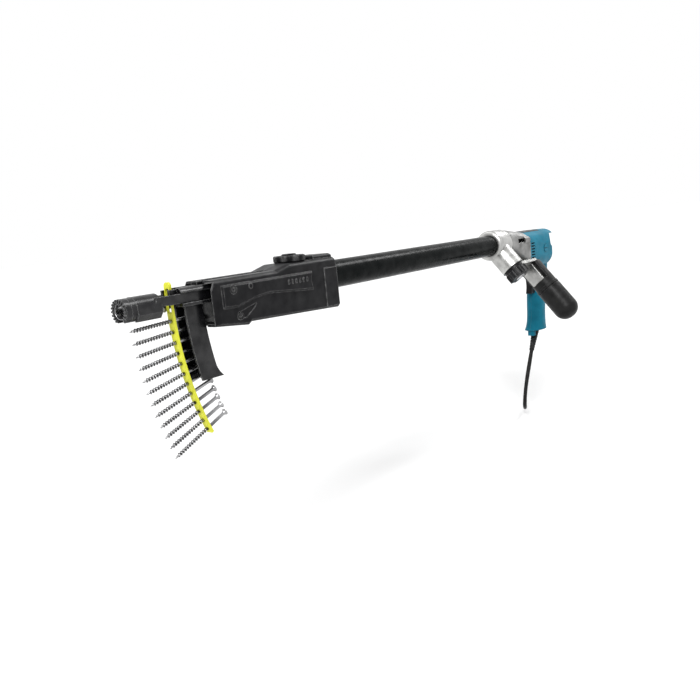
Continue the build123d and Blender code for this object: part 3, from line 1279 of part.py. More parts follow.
def build():
    """Every piece of the tool by name."""
    motor_left, motor_right = make_motor_shells()
    return {
        "nose_teeth": make_nose_teeth(),
        "nose_tube": make_nose_tube(),
        "carriage": make_carriage(),
        "release_button": make_release_button(),
        "button_spring": make_button_spring(),
        "return_spring": make_return_spring(),
        "feed_guide": make_feed_guide(),
        "strip_band": make_strip_band(),
        "strip_screws": make_strip_screws(),
        "feed_lever": make_feed_lever(),
        "lever_pin": make_lever_pin(),
        "lever_roller": make_lever_roller(),
        "housing_left": make_housing_shell(-1),
        "housing_right": make_housing_shell(1),
        "slide_rail_left": make_slide_rail(-1),
        "slide_rail_right": make_slide_rail(1),
        "depth_dial": make_depth_dial(),
        "pole_tube": make_pole_tube(),
        "front_bush": make_front_bush(),
        "driver_bit": make_driver_bit(),
        "mandrel": make_mandrel(),
        "spindle": make_spindle(),
        "spindle_gear": make_spindle_gear(),
        "spindle_bearings": make_spindle_bearings(),
        "gear_case": make_gear_case(),
        "bearing_plate": make_bearing_plate(),
        "armature_shaft": make_armature_shaft(),
        "armature_core": make_armature_core(),
        "commutator": make_commutator(),
        "cooling_fan": make_cooling_fan(),
        "armature_bearings": make_armature_bearings(),
        "field_core": make_field_core(),
        "motor_housing_left": motor_left,
        "motor_housing_right": motor_right,
        "brush_caps": make_brush_caps(),
        "trigger": make_trigger(),
        "switch_body": make_switch_body(),
        "lock_button": make_lock_button(),
        "reverse_lever": make_reverse_lever(),
        "handle_bracket": make_handle_bracket(),
        "handle_arm": make_handle_arm(),
        "clamp_stud": make_clamp_stud(),
        "clamp_knob": make_clamp_knob(),
        "handle_sleeve": make_handle_sleeve(),
        "handle_grip": make_handle_grip(),
        "belt_clip": make_belt_clip(),
        "cord_guard": make_cord_guard(),
        "cord_lead": make_cord_lead(),
        "cord_hank": make_cord_hank(),
        "cord_tie": make_cord_tie(),
        "plug": make_plug(),
    }


os.makedirs("parts", exist_ok=True)
for node, shape in build().items():
    export_step(shape, f"parts/{node}.step")

for radius in cord_radii(CORD_PATH):
    print(f"cord arc radius {radius:.1f} mm")
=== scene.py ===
import math

import bmesh
import bpy
from mathutils import Matrix, Vector


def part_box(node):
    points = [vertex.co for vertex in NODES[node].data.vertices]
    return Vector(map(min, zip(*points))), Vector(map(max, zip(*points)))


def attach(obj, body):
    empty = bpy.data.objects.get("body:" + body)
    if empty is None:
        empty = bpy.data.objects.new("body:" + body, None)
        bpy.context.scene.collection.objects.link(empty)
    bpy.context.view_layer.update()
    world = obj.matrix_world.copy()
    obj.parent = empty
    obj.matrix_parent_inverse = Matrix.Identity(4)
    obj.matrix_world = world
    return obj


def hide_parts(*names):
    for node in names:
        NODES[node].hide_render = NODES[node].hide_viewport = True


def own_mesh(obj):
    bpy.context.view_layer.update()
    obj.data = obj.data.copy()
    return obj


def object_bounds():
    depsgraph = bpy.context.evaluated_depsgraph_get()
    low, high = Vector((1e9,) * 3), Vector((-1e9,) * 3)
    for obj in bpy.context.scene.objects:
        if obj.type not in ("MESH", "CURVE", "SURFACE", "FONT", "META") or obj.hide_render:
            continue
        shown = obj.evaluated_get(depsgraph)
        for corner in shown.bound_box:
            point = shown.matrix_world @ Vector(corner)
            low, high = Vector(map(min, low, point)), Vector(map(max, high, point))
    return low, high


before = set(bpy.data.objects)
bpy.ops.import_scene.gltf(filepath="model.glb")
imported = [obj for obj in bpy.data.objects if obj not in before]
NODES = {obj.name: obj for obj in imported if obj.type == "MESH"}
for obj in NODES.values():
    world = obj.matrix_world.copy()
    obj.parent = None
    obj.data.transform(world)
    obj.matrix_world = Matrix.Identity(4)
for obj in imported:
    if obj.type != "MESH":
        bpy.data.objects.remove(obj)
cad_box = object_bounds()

# Auto-feed decking screwdriver. Metres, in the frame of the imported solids: +X from the nose to
# the motor, +Z up, +Y the user's right, origin at the rear of the motor.

MM = 0.001
SIDES = (-1, 1)

# Stations along the drive axis, as the solids have them
X_NOSE = -1.038
X_HOUSING = -0.938
X_FEED = -0.598
X_BOSS = -0.221


# Helpers for objects and shader nodes

def add_object(name, data):
    """A new object in the scene that shows the data."""
    thing = bpy.data.objects.new(name, data)
    bpy.context.scene.collection.objects.link(thing)
    return thing


def combine(tree, operation, first, second):
    """The result of a math node; the second value is a socket or a number."""
    node = tree.nodes.new("ShaderNodeMath")
    node.operation = operation
    tree.links.new(first, node.inputs[0])
    if isinstance(second, bpy.types.NodeSocket):
        tree.links.new(second, node.inputs[1])
    else:
        node.inputs[1].default_value = second
    return node.outputs[0]


def remap(tree, value, source, target):
    """A value brought from one range to another, and held inside it."""
    node = tree.nodes.new("ShaderNodeMapRange")
    for end, number in zip(("From Min", "From Max", "To Min", "To Max"), (*source, *target)):
        node.inputs[end].default_value = number
    tree.links.new(value, node.inputs["Value"])
    return node.outputs["Result"]


def mix(tree, factor, first, second):
    """Two colours mixed by a factor; the first is a socket or a colour."""
    node = tree.nodes.new("ShaderNodeMix")
    node.data_type = "RGBA"
    tree.links.new(factor, node.inputs["Factor"])
    if isinstance(first, bpy.types.NodeSocket):
        tree.links.new(first, node.inputs["A"])
    else:
        node.inputs["A"].default_value = (*first, 1)
    node.inputs["B"].default_value = (*second, 1)
    return node.outputs["Result"]


# Camera, floor and light

CAMERA_PLACE = (-1.4258, -0.5986, 0.0614)
CAMERA_RIGHT = Vector((0.611, -0.786, -0.095))
CAMERA_AHEAD = Vector((0.767, 0.617, -0.176))
SENSOR = 36.0
PHOTO_PIXELS = 700
FOCAL_PIXELS = 690
NEAR_CLIP = 0.01
WORLD_LIGHT = 0.42
FLOOR_HALF = 30.0
FLOOR_DROP = 0.012
FLOOR_GREY = (0.8, 0.8, 0.8, 1)
FLOOR_GLOW = 0.12
WHITE = (1, 1, 1, 1)

# Name, direction, strength and spread in degrees; rim and glint light the edges of the pole and the nose
SUNS = [
    ("key", (0.80, 0.40, -0.75), 2.3, 25),
    ("rim", (-0.767, 0.168, -0.609), 0.55, 14),
    ("glint", (-0.578, 0.308, -0.757), 0.55, 16),
    ("top", (0.2, -0.35, -1.0), 0.7, 50),
]


def make_camera():
    """A camera at the photograph's angle."""
    right = CAMERA_RIGHT.normalized()
    forward = (CAMERA_AHEAD - right * CAMERA_AHEAD.dot(right)).normalized()
    up = right.cross(forward)
    turn = Matrix((right, up, -forward)).transposed().to_4x4()
    camera = add_object("camera", bpy.data.cameras.new("camera"))
    camera.matrix_world = Matrix.Translation(CAMERA_PLACE) @ turn
    camera.data.sensor_width = SENSOR
    camera.data.lens = SENSOR * FOCAL_PIXELS / PHOTO_PIXELS
    camera.data.clip_start = NEAR_CLIP
    bpy.context.scene.camera = camera


def background_rays(tree):
    """1 for the rays that see the background: from the camera, a reflection or through glass."""
    path = tree.nodes.new("ShaderNodeLightPath")
    seen = combine(tree, "MAXIMUM", path.outputs["Is Camera Ray"], path.outputs["Is Glossy Ray"])
    return combine(tree, "MAXIMUM", seen, path.outputs["Is Transmission Ray"])


def make_world():
    """White to the eye and in reflections, softer as a light."""
    world = bpy.data.worlds.new("studio")
    bpy.context.scene.world = world
    world.use_nodes = True
    tree = world.node_tree
    back = tree.nodes["Background"]
    back.inputs["Color"].default_value = WHITE
    level = remap(tree, background_rays(tree), (0, 1), (WORLD_LIGHT, 1))
    tree.links.new(level, back.inputs["Strength"])


def floor_paint():
    """A matt grey that glows a little to the rays that see the background."""
    paint = bpy.data.materials.new("floor_paint")
    paint.use_nodes = True
    tree = paint.node_tree
    tree.nodes.clear()
    matt = tree.nodes.new("ShaderNodeBsdfDiffuse")
    matt.inputs["Color"].default_value = FLOOR_GREY
    glow = tree.nodes.new("ShaderNodeEmission")
    strength = combine(tree, "MULTIPLY", background_rays(tree), FLOOR_GLOW)
    tree.links.new(strength, glow.inputs["Strength"])
    total = tree.nodes.new("ShaderNodeAddShader")
    tree.links.new(matt.outputs[0], total.inputs[0])
    tree.links.new(glow.outputs[0], total.inputs[1])
    out = tree.nodes.new("ShaderNodeOutputMaterial")
    tree.links.new(total.outputs[0], out.inputs["Surface"])
    return paint


def make_floor():
    """A wide pale floor under the lowest point, which keeps a soft shadow."""
    z = cad_box[0].z - FLOOR_DROP
    corners = [(-1, -1), (1, -1), (1, 1), (-1, 1)]
    mesh = bpy.data.meshes.new("floor")
    mesh.from_pydata([(u * FLOOR_HALF, v * FLOOR_HALF, z) for u, v in corners], [], [(0, 1, 2, 3)])
    mesh.materials.append(floor_paint())
    floor = add_object("floor", mesh)


def make_sun(name, towards, strength, spread):
    """An even, soft light from one direction."""
    data = bpy.data.lights.new(name, "SUN")
    data.energy = strength
    data.angle = math.radians(spread)
    lamp = add_object(name, data)
    lamp.rotation_euler = Vector(towards).to_track_quat("-Z", "Y").to_euler()


make_camera()
make_world()
make_floor()
bpy.context.scene.view_settings.view_transform = "Standard"
for sun in SUNS:
    make_sun(*sun)


# Materials

# Scale and detail of the noises that vary a finish, and the range that their values mostly lie in
GRAIN_DETAIL = 3
WEAR_HIGHLIGHT_NOISE = (160, 4)
CLOUD_NOISE = (45, 4)
GLEAM_NOISE = (70, 5)
ROUGH_NOISE = (90, 5)
NOISE_RANGE = (0.3, 0.7)
GLEAM_SPREAD = 0.4
ROUGH_SPREAD = 0.06
BUMP_STRENGTH = 0.6

# Rubbed edges, wear and painted highlight both: the cosines at which they start and are full, their patches,
# and how pale they are
WEAR_HIGHLIGHT_LEAN = (0.98, 0.80)
WEAR_HIGHLIGHT_PATCHES = (0.2, 1.0)
WEAR_HIGHLIGHT_SHARE = 0.35
WEAR_HIGHLIGHT_PALE = 0.8

# Sheltered corners, painted shade: the openness at which the darkening starts and is full, how dark painted
# shade gets, and the range that dulls the gloss
CORNER_SHADE_OPEN = (0.9, 0.4)
PAINTED_SHADE_SHARE = 0.12
SHEEN_OPEN = (0.35, 0.95)
SHEEN_LEAST = 0.15
CORNER_SAMPLES = 4


def noise(tree, place, scale, detail):
    """A cloudy value that varies over the object."""
    node = tree.nodes.new("ShaderNodeTexNoise")
    node.inputs["Scale"].default_value = scale
    node.inputs["Detail"].default_value = detail
    tree.links.new(place, node.inputs["Vector"])
    return node.outputs["Fac"]


def soft_edges(tree, radius):
    """A normal that is rounded off at the edges."""
    node = tree.nodes.new("ShaderNodeBevel")
    node.samples = CORNER_SAMPLES
    node.inputs["Radius"].default_value = radius
    return node.outputs["Normal"]


def grainy(tree, normal, height, depth):
    """A normal with a fine grain on it."""
    node = tree.nodes.new("ShaderNodeBump")
    node.inputs["Strength"].default_value = BUMP_STRENGTH
    node.inputs["Distance"].default_value = depth
    tree.links.new(height, node.inputs["Height"])
    tree.links.new(normal, node.inputs["Normal"])
    return node.outputs["Normal"]


def lean(tree, normal):
    """The cosine between a softened normal and the mesh's own, which falls below 1 at an edge."""
    own = tree.nodes.new("ShaderNodeNewGeometry")
    node = tree.nodes.new("ShaderNodeVectorMath")
    node.operation = "DOT_PRODUCT"
    tree.links.new(normal, node.inputs[0])
    tree.links.new(own.outputs["Normal"], node.inputs[1])
    return node.outputs["Value"]


def openness(tree, reach):
    """1 on an open face, and less in a corner."""
    node = tree.nodes.new("ShaderNodeAmbientOcclusion")
    node.samples = CORNER_SAMPLES
    node.inputs["Distance"].default_value = reach
    return node.outputs["AO"]


def surface(name, colour, rough, *, metal=0.0, grain=1500, depth=0.05, mottle=0.12, wear_and_highlight=0.25, edge=0.5,
            gloss=0.3, corner_shade=0.35, crevice=4, dark=None):
    """A procedural finish: fine grain, cloudy colour and gloss, pale edges of wear and painted highlight, and
    painted shade with dulled gloss in corners.

    The grain's depth, the radius of an edge and the reach of a crevice are in mm. dark names an attribute of
    the mesh, which paints shade on it where it is 1.
    """
    material = bpy.data.materials.new(name)
    material.use_nodes = True
    tree = material.node_tree
    place = tree.nodes.new("ShaderNodeTexCoord").outputs["Object"]

    def wander(kind, low, high):
        """A noise that wanders between two values."""
        return remap(tree, noise(tree, place, *kind), NOISE_RANGE, (low, high))

    soft = soft_edges(tree, edge * MM)
    normal = grainy(tree, soft, noise(tree, place, grain, GRAIN_DETAIL), depth * MM)
    # Pale edges: edge wear, and a painted highlight along every edge
    wear_and_highlight_edges = remap(tree, lean(tree, soft), WEAR_HIGHLIGHT_LEAN, (0, wear_and_highlight))
    patchy = combine(tree, "MULTIPLY", wear_and_highlight_edges, wander(WEAR_HIGHLIGHT_NOISE, *WEAR_HIGHLIGHT_PATCHES))
    deep = [c * (1 - mottle) for c in colour]
    light = [min(1, c * (1 + mottle)) for c in colour]
    pale = [c + WEAR_HIGHLIGHT_SHARE * (WEAR_HIGHLIGHT_PALE - c) for c in colour]
    wear_and_highlight_colour = mix(tree, patchy, mix(tree, wander(CLOUD_NOISE, 0, 1), deep, light), pale)

    # Painted shade: the colour darkens in sheltered corners, where the gloss is dulled too
    free = openness(tree, crevice * MM)
    painted_shade = remap(tree, free, CORNER_SHADE_OPEN, (0, corner_shade))
    # Painted shade also where the attribute named by dark is 1, as on the ridges of the screws' threads
    if dark:
        painted_thread_shade = tree.nodes.new("ShaderNodeAttribute")
        painted_thread_shade.attribute_name = dark
        painted_shade = combine(tree, "MAXIMUM", painted_shade, painted_thread_shade.outputs["Fac"])
    sheen = remap(tree, free, SHEEN_OPEN, (SHEEN_LEAST, 1))
    gleam = wander(GLEAM_NOISE, (1 - GLEAM_SPREAD) * gloss, (1 + GLEAM_SPREAD) * gloss)

    shader = tree.nodes["Principled BSDF"]
    shader.inputs["Metallic"].default_value = metal
    values = {
        "Base Color": mix(tree, painted_shade, wear_and_highlight_colour, [PAINTED_SHADE_SHARE * c for c in colour]),
        "Roughness": wander(ROUGH_NOISE, rough - ROUGH_SPREAD, rough + ROUGH_SPREAD),
        "Specular IOR Level": combine(tree, "MULTIPLY", sheen, gleam),
        "Normal": normal,
    }
    for socket, value in values.items():
        tree.links.new(value, shader.inputs[socket])
    return material


# A finish for each slot of the record, and gear_alloy, a duller one for the gear case and its plate
LOOKS = {
    "housing_black": surface("moulded_black", (0.006, 0.006, 0.007), 0.34, grain=2200, depth=0.06, wear_and_highlight=0.95,
                             edge=2.0, gloss=0.14, crevice=7),
    "nose_black": surface("nose_black", (0.006, 0.006, 0.007), 0.24, grain=1600, depth=0.02, wear_and_highlight=0.9,
                          edge=1.4, gloss=0.38, crevice=7),
    "bright_steel": surface("bright_steel", (0.55, 0.55, 0.56), 0.28, metal=1, grain=900, depth=0.02),
    "spring_steel": surface("spring_steel", (0.34, 0.34, 0.36), 0.32, metal=1, grain=900, depth=0.02),
    "strip_yellow": surface("strip_yellow", (0.76, 0.77, 0.05), 0.45, grain=1200, depth=0.05, wear_and_highlight=0.1,
                            corner_shade=0.2),
    "screw_grey": surface("screw_grey", (0.34, 0.34, 0.345), 0.26, metal=1, grain=1500, depth=0.02,
                          mottle=0.3, dark="thread"),
    "rail_plastic": surface("rail_plastic", (0.06, 0.06, 0.06), 0.5, grain=1500, depth=0.03, gloss=0.15),
    "pole_black": surface("pole_black", (0.002, 0.003, 0.003), 0.24, grain=700, depth=0.006, gloss=0.045),
    "cast_alloy": surface("cast_alloy", (0.44, 0.44, 0.428), 0.34, metal=1, grain=420, depth=0.25,
                          mottle=0.36, wear_and_highlight=0.6, edge=1.4, corner_shade=0.75, crevice=9),
    "gear_alloy": surface("gear_alloy", (0.24, 0.24, 0.235), 0.40, metal=1, grain=420, depth=0.30,
                          mottle=0.50, wear_and_highlight=0.7, edge=1.4, corner_shade=0.85, crevice=11),
    "core_steel": surface("core_steel", (0.20, 0.20, 0.21), 0.45, metal=1, grain=1200, depth=0.04),
    "copper": surface("copper", (0.72, 0.30, 0.14), 0.3, metal=1, grain=1200, depth=0.02),
    "motor_blue": surface("motor_blue", (0.012, 0.172, 0.258), 0.36, grain=2000, depth=0.05, mottle=0.18,
                          wear_and_highlight=0.3, edge=1.8, gloss=0.04, corner_shade=0.75, crevice=12),
    "trim_black": surface("trim_black", (0.007, 0.007, 0.008), 0.36, grain=1800, depth=0.05, wear_and_highlight=0.6,
                          edge=1.4, gloss=0.16),
    "grip_rubber": surface("grip_rubber", (0.008, 0.008, 0.008), 0.40, grain=1400, depth=0.10, wear_and_highlight=0.4,
                           edge=1.6, gloss=0.15),
    "cord_rubber": surface("cord_rubber", (0.007, 0.007, 0.007), 0.5, grain=1400, depth=0.06, wear_and_highlight=0.1,
                           gloss=0.15),
    "strap_black": surface("strap_black", (0.012, 0.012, 0.013), 0.7, grain=3000, depth=0.15, wear_and_highlight=0.1,
                           gloss=0.1),
}

# The solids that have each finish
FINISHED = {
    "housing_black": ["housing_left", "housing_right", "depth_dial", "release_button"],
    "nose_black": ["nose_teeth", "nose_tube", "carriage", "feed_guide"],
    "bright_steel": ["driver_bit", "mandrel", "spindle", "lever_pin", "clamp_stud", "armature_shaft"],
    "spring_steel": ["return_spring", "button_spring", "feed_lever", "belt_clip"],
    "strip_yellow": ["strip_band"],
    "screw_grey": ["strip_screws"],
    "rail_plastic": ["slide_rail_left", "slide_rail_right", "lever_roller", "front_bush", "switch_body"],
    "pole_black": ["pole_tube"],
    "cast_alloy": ["handle_bracket", "handle_arm"],
    "gear_alloy": ["gear_case", "bearing_plate"],
    "core_steel": ["armature_core", "field_core", "spindle_gear", "spindle_bearings", "armature_bearings"],
    "copper": ["commutator"],
    "motor_blue": ["motor_housing_left", "motor_housing_right", "brush_caps"],
    "trim_black": ["trigger", "lock_button", "reverse_lever", "clamp_knob", "cooling_fan", "plug"],
    "grip_rubber": ["handle_sleeve", "handle_grip", "cord_guard"],
    "cord_rubber": ["cord_lead", "cord_hank"],
    "strap_black": ["cord_tie"],
}

for finish, names in FINISHED.items():
    for name in names:
        NODES[name].data.materials.clear()
        NODES[name].data.materials.append(LOOKS[finish])


# Pieces that ride on the solids

SHARP = math.radians(32)

# A direction that no wire runs along, from which the points of its rings are counted
WIRE_ACROSS = (0.31, 0.17, 0.94)


def add_piece(name, mesh, body, slot, replaced=()):
    """Give a mesh its finish and shading, and let it ride a body."""
    mesh.materials.append(LOOKS[slot])
    mesh.shade_smooth()
    mesh.set_sharp_from_angle(angle=SHARP)
    piece = add_object(name, mesh)
    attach(piece, body)
    if replaced:
        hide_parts(*replaced)
    return piece


def axis_frame(origin, along, across=(0, 0, 1)):
    """A place whose local Z runs along a direction, and local X as near across as it can."""
    z = Vector(along).normalized()
    x = Vector(across) - z * Vector(across).dot(z)
    x.normalize()
    turn = Matrix((x, z.cross(x), z)).transposed().to_4x4()
    return Matrix.Translation(origin) @ turn


def circle_point(radius, angle, height=0.0):
    """A point at an angle round local Z."""
    return Vector((radius * math.cos(angle), radius * math.sin(angle), height))


class Shape:
    """Collects the points and faces of one piece."""

    def __init__(self):
        self.points = []
        self.faces = []

    def add_points(self, points):
        """Keep the points, and say where they are in the list."""
        start = len(self.points)
        self.points += [Vector(point) for point in points]
        return list(range(start, len(self.points)))

    def skin(self, rows):
        """Faces between closed rows of as many points each; a row at one point gives triangles."""
        for low, high in zip(rows, rows[1:]):
            for corners in zip(low, low[1:] + low[:1], high[1:] + high[:1], high):
                self.faces.append(list(dict.fromkeys(corners)))

    def lathe(self, place, profile, steps, reach=None):
        """Turn a profile of (height, radius) about local Z.

        reach(height, radius, angle, k) varies the radius of ring k round the axis.
        """
        rows = []
        for k, (height, radius) in enumerate(profile):
            if radius == 0:
                rows.append(self.add_points([place @ Vector((0, 0, height))]) * steps)
                continue
            ring = []
            for i in range(steps):
                angle = 2 * math.pi * i / steps
                out = reach(height, radius, angle, k) if reach else radius
                ring.append(place @ circle_point(out, angle, height))
            rows.append(self.add_points(ring))
        self.skin(rows)

    def tube(self, path, radius, sides):
        """A round wire along a path, closed at both ends."""
        rings = []
        last = len(path) - 1
        for k, centre in enumerate(path):
            ahead = path[min(k + 1, last)] - path[max(k - 1, 0)]
            place = axis_frame(centre, ahead, WIRE_ACROSS)
            rings.append([place @ circle_point(radius, 2 * math.pi * i / sides) for i in range(sides)])
        self.loft(rings)

    def loft(self, rings, closed=False):
        """Join rings of as many points each; an open loft gets two end faces."""
        rows = [self.add_points(ring) for ring in rings]
        if closed:
            rows.append(rows[0])
        else:
            self.faces += [rows[0][::-1], rows[-1]]
        self.skin(rows)

    def mesh(self, name):
        """The piece as a mesh, its faces turned outwards."""
        mesh = bpy.data.meshes.new(name)
        mesh.from_pydata(self.points, [], self.faces)
        work = bmesh.new()
        work.from_mesh(mesh)
        bmesh.ops.recalc_face_normals(work, faces=work.faces)
        work.to_mesh(mesh)
        work.free()
        mesh.update()
        return mesh


def oval(half_a, half_b, power, steps):
    """Points round an oval, from an ellipse at power 2 to nearly a rectangle at a high one."""
    points = []
    for k in range(steps):
        turn = 2 * math.pi * k / steps
        c, s = math.cos(turn), math.sin(turn)
        points.append((half_a * math.copysign(abs(c) ** (2 / power), c),
                       half_b * math.copysign(abs(s) ** (2 / power), s)))
    return points


# Screw heads: height and radius of each ring as shares of the head's, and the ring where the recess starts
HEAD_RINGS = [(-0.2, 0), (-0.2, 1), (0.55, 1), (0.85, 0.92), (1, 0.72), (1, 0.56), (0.3, 0.48), (0.3, 0)]
RECESS_RING = 5
HEAD_STEPS = 24
CROSS_PINCH = 0.34


def cross(angle, pinch):
    """The radius of a four-pointed cross, as a share of its reach."""
    return 1 - pinch + pinch * math.cos(4 * angle)


def cross_recess(height, radius, angle, k):
    """Pinches the inner rings of a screw head into a cross."""
    return radius * cross(angle, CROSS_PINCH) if k >= RECESS_RING else radius


def hex_recess(height, radius, angle, k):
    """Pinches the inner rings of a screw head into a hexagon."""
    if k < RECESS_RING:
        return radius
    sixth = math.pi / 3
    return radius * math.cos(sixth / 2) / math.cos(angle % sixth - sixth / 2)


def screw_head(shape, place, radius, height, recess):
    """A screw head with a recess, its seat at local Z 0."""
    shape.lathe(place, [(z * height, r * radius) for z, r in HEAD_RINGS], HEAD_STEPS, recess)


# Deck screws in the strip. Along each screw, 0 is the band and the point is ahead.

STRIP_RADIUS = 0.378
STRIP_PITCH = 0.01175
STRIP_STEP = STRIP_PITCH / STRIP_RADIUS
SCREW_PHASE = 0.62
SCREW_COUNT = 12
SCREW_SIDES = 12
HEAD_DEPTH = -0.029
POINT_REACH = 0.054
POINT_LENGTH = 0.007
SHANK_R = 0.002
THREAD_START = 0.0035
THREAD_PITCH = 0.0035
THREAD_ROOT = 0.00140
THREAD_CREST = 0.00260
PITCH_RINGS = 6
DRIVE_DEPTH = 0.002

# Shares: half a ridge of its pitch, the bluntness of the point and the pinch of the cross in the head
RIDGE_HALF = 0.34
POINT_BLUNT = 0.08
DRIVE_PINCH = 0.25

# Distance from the head's face and radius of each ring of the head, from the floor of its recess, in mm
SCREW_HEAD = [(1.6, 0), (1.6, 1.5), (0, 1.9), (0, 4.0), (0.5, 4.15), (1.6, 3.2), (3.0, 2.35), (5.0, 2.0)]


def strip_frame(index):
    """Where one screw crosses the band: local Z runs to its point."""
    angle = STRIP_STEP * (index + SCREW_PHASE)
    out = Vector((-math.cos(angle), 0, -math.sin(angle)))
    return axis_frame(Vector((X_FEED, 0, 0)) + out * STRIP_RADIUS, out, (0, 1, 0))


def screw_reach(height, radius, angle, k):
    """A cross in the head, and a thread that climbs one pitch a turn and dies out at the point."""
    if THREAD_START < height < POINT_REACH:
        phase = (height / THREAD_PITCH - angle / (2 * math.pi)) % 1.0
        ridge = max(0.0, 1.0 - abs(phase - 0.5) / RIDGE_HALF)
        return radius + (THREAD_CREST - THREAD_ROOT) * ridge * min(1.0, radius / THREAD_ROOT)
    if height < HEAD_DEPTH + DRIVE_DEPTH and radius < SHANK_R:
        return radius * cross(angle, DRIVE_PINCH)
    return radius


def painted_ridge_shade(point):
    """How far a point of a screw stands out on its thread, from 0 at the root to 1 half way up; it sets the
    painted shade on the thread's ridges.
    """
    if point.z < THREAD_START:
        return 0.0
    rise = math.hypot(point.x, point.y) - THREAD_ROOT
    return min(1.0, max(0.0, 2 * rise / (THREAD_CREST - THREAD_ROOT)))


def make_screws():
    """The strip's deck screws, with the thread's height kept as an attribute that paints shade on the
    thread's ridges.
    """
    profile = [(HEAD_DEPTH + z * MM, r * MM) for z, r in SCREW_HEAD] + [(THREAD_START, SHANK_R)]
    step = THREAD_PITCH / PITCH_RINGS
    for k in range(1, int((POINT_REACH - THREAD_START) / step)):
        height = THREAD_START + k * step
        taper = (POINT_REACH - height) / POINT_LENGTH + POINT_BLUNT
        profile.append((height, THREAD_ROOT * min(1.0, taper)))
    profile.append((POINT_REACH, 0))
    shape = Shape()
    ridges = []
    for index in range(1, SCREW_COUNT + 1):
        place = strip_frame(index)
        first = len(shape.points)
        shape.lathe(place, profile, SCREW_SIDES, screw_reach)
        back = place.inverted()
        ridges += [painted_ridge_shade(back @ point) for point in shape.points[first:]]
    mesh = shape.mesh("deck_screws")
    # The thread attribute paints shade on the ridges of each thread
    mesh.attributes.new("thread", "FLOAT", "POINT").data.foreach_set("value", ridges)
    add_piece("deck_screws", mesh, "screw_strip", "screw_grey", ["strip_screws"])


# Springs

# Radius, radius of the wire and turns of each coil
RETURN_COIL = (9.2 * MM, 0.85 * MM, 15)
BUTTON_COIL = (2.6 * MM, 0.3 * MM, 4)

COIL_STEPS = 16
COIL_SIDES = 8
COIL_EASE = 0.35


def make_spring(name, start, along, length, coil, body, node):
    """A coil of round wire, wound closer at its ends and middle."""
    radius, wire, turns = coil
    place = axis_frame(start, along)
    total = turns * COIL_STEPS
    path = []
    for k in range(total + 1):
        share = k / total
        eased = share - math.sin(4 * math.pi * share) / (4 * math.pi) * COIL_EASE
        height = wire + (length - 2 * wire) * eased
        path.append(place @ circle_point(radius, 2 * math.pi * k / COIL_STEPS, height))
    shape = Shape()
    shape.tube(path, wire, COIL_SIDES)
    return add_piece(name, shape.mesh(name), body, "spring_steel", [node])


def make_springs():
    """The springs behind the carriage and under its button, in place of their solids."""
    seat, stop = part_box("return_spring")
    length = stop.x - seat.x
    coil = make_spring("return_coil", (seat.x, 0, 0), (1, 0, 0), length, RETURN_COIL, "frame",
                       "return_spring")
    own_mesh(coil)
    foot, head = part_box("button_spring")
    middle = ((foot.x + head.x) / 2, 0, foot.z)
    small = make_spring("button_coil", middle, (0, 0, 1), head.z - foot.z, BUTTON_COIL, "carriage",
                        "button_spring")
    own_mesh(small)


# Depth dial, on the housing's deck

DECK = 0.0249
DIAL_STATION = 0.152
DIAL_STEM = 0.0081
DIAL_STEM_R = 0.005
DIAL_R = 0.021
DIAL_PLAIN_SHARE = 0.7
DIAL_LOBES = 8
DIAL_RIDGES = 9
DIAL_HOLLOW = 2.6 * MM
DIAL_RIDGE = 0.35 * MM
DIAL_STEPS = 288

# Height and radius of each ring of its wheel, in mm
DIAL_RINGS = [
    (0, 5.0), (0, 19.6), (0.9, 20.8), (2.0, 21.0), (6.2, 21.0), (7.3, 20.6), (8.0, 19.4), (8.0, 16.4),
    (7.1, 15.6), (7.1, 10.4), (8.0, 9.6), (9.4, 9.0), (10.0, 8.2), (10.0, 3.0), (9.2, 2.4), (9.2, 0),
]


def dial_edge(height, radius, angle, k):
    """Finger hollows round the rim, with fine ridges on the lobes between them."""
    if radius < DIAL_PLAIN_SHARE * DIAL_R:
        return radius
    wave = 0.5 - 0.5 * math.cos(DIAL_LOBES * angle)
    hollow = DIAL_HOLLOW * (1 - wave) ** 2
    ridge = DIAL_RIDGE * math.cos(DIAL_LOBES * DIAL_RIDGES * angle) * wave
    return radius - hollow + ridge - DIAL_RIDGE


def make_dial():
    """The depth dial: a scalloped wheel with a dished face and a cap, on its stem."""
    place = axis_frame((X_HOUSING + DIAL_STATION, 0, DECK), (0, 0, 1), (1, 0, 0))
    stem = [(-DIAL_STEM, 0), (-DIAL_STEM, DIAL_STEM_R)]
    shape = Shape()
    shape.lathe(place, stem + [(z * MM, r * MM) for z, r in DIAL_RINGS], DIAL_STEPS, dial_edge)
    add_piece("dial_wheel", shape.mesh("dial_wheel"), "depth_dial", "housing_black", ["depth_dial"])


# Screws, and the side handle

# Seats on each shell from the housing's front, on the gear case and on the grip's right side
SHELL_SEATS = [(0.029, 0.0257, 0.005), (0.037, 0.0235, -0.025)]
CASE_SEAT = (-0.147, 0.0275, 0.002)
GRIP_SEATS = [(-0.026, 0.0189, -0.066), (-0.039, 0.0174, -0.140), (-0.0435, 0.0181, -0.179)]

# Radius and height of the heads on those seats
SHELL_HEAD = (3.7 * MM, 1.5 * MM)
CASE_HEAD = (3.9 * MM, 3.6 * MM)
GRIP_HEAD = (3.4 * MM, 1.3 * MM)

# The side handle's axis leans down to the left, with the arm and then the knob along it
BOSS_LEAN = math.radians(50)
BOSS_AXIS = Vector((0, -math.cos(BOSS_LEAN), -math.sin(BOSS_LEAN)))
KNOB_FACE = 0.0788
KNOB_CAP = (9 * MM, 2.4 * MM)
ARM_MIDDLE = 0.0614
ARM_HALF = 0.019
EDGE_STEPS = 36

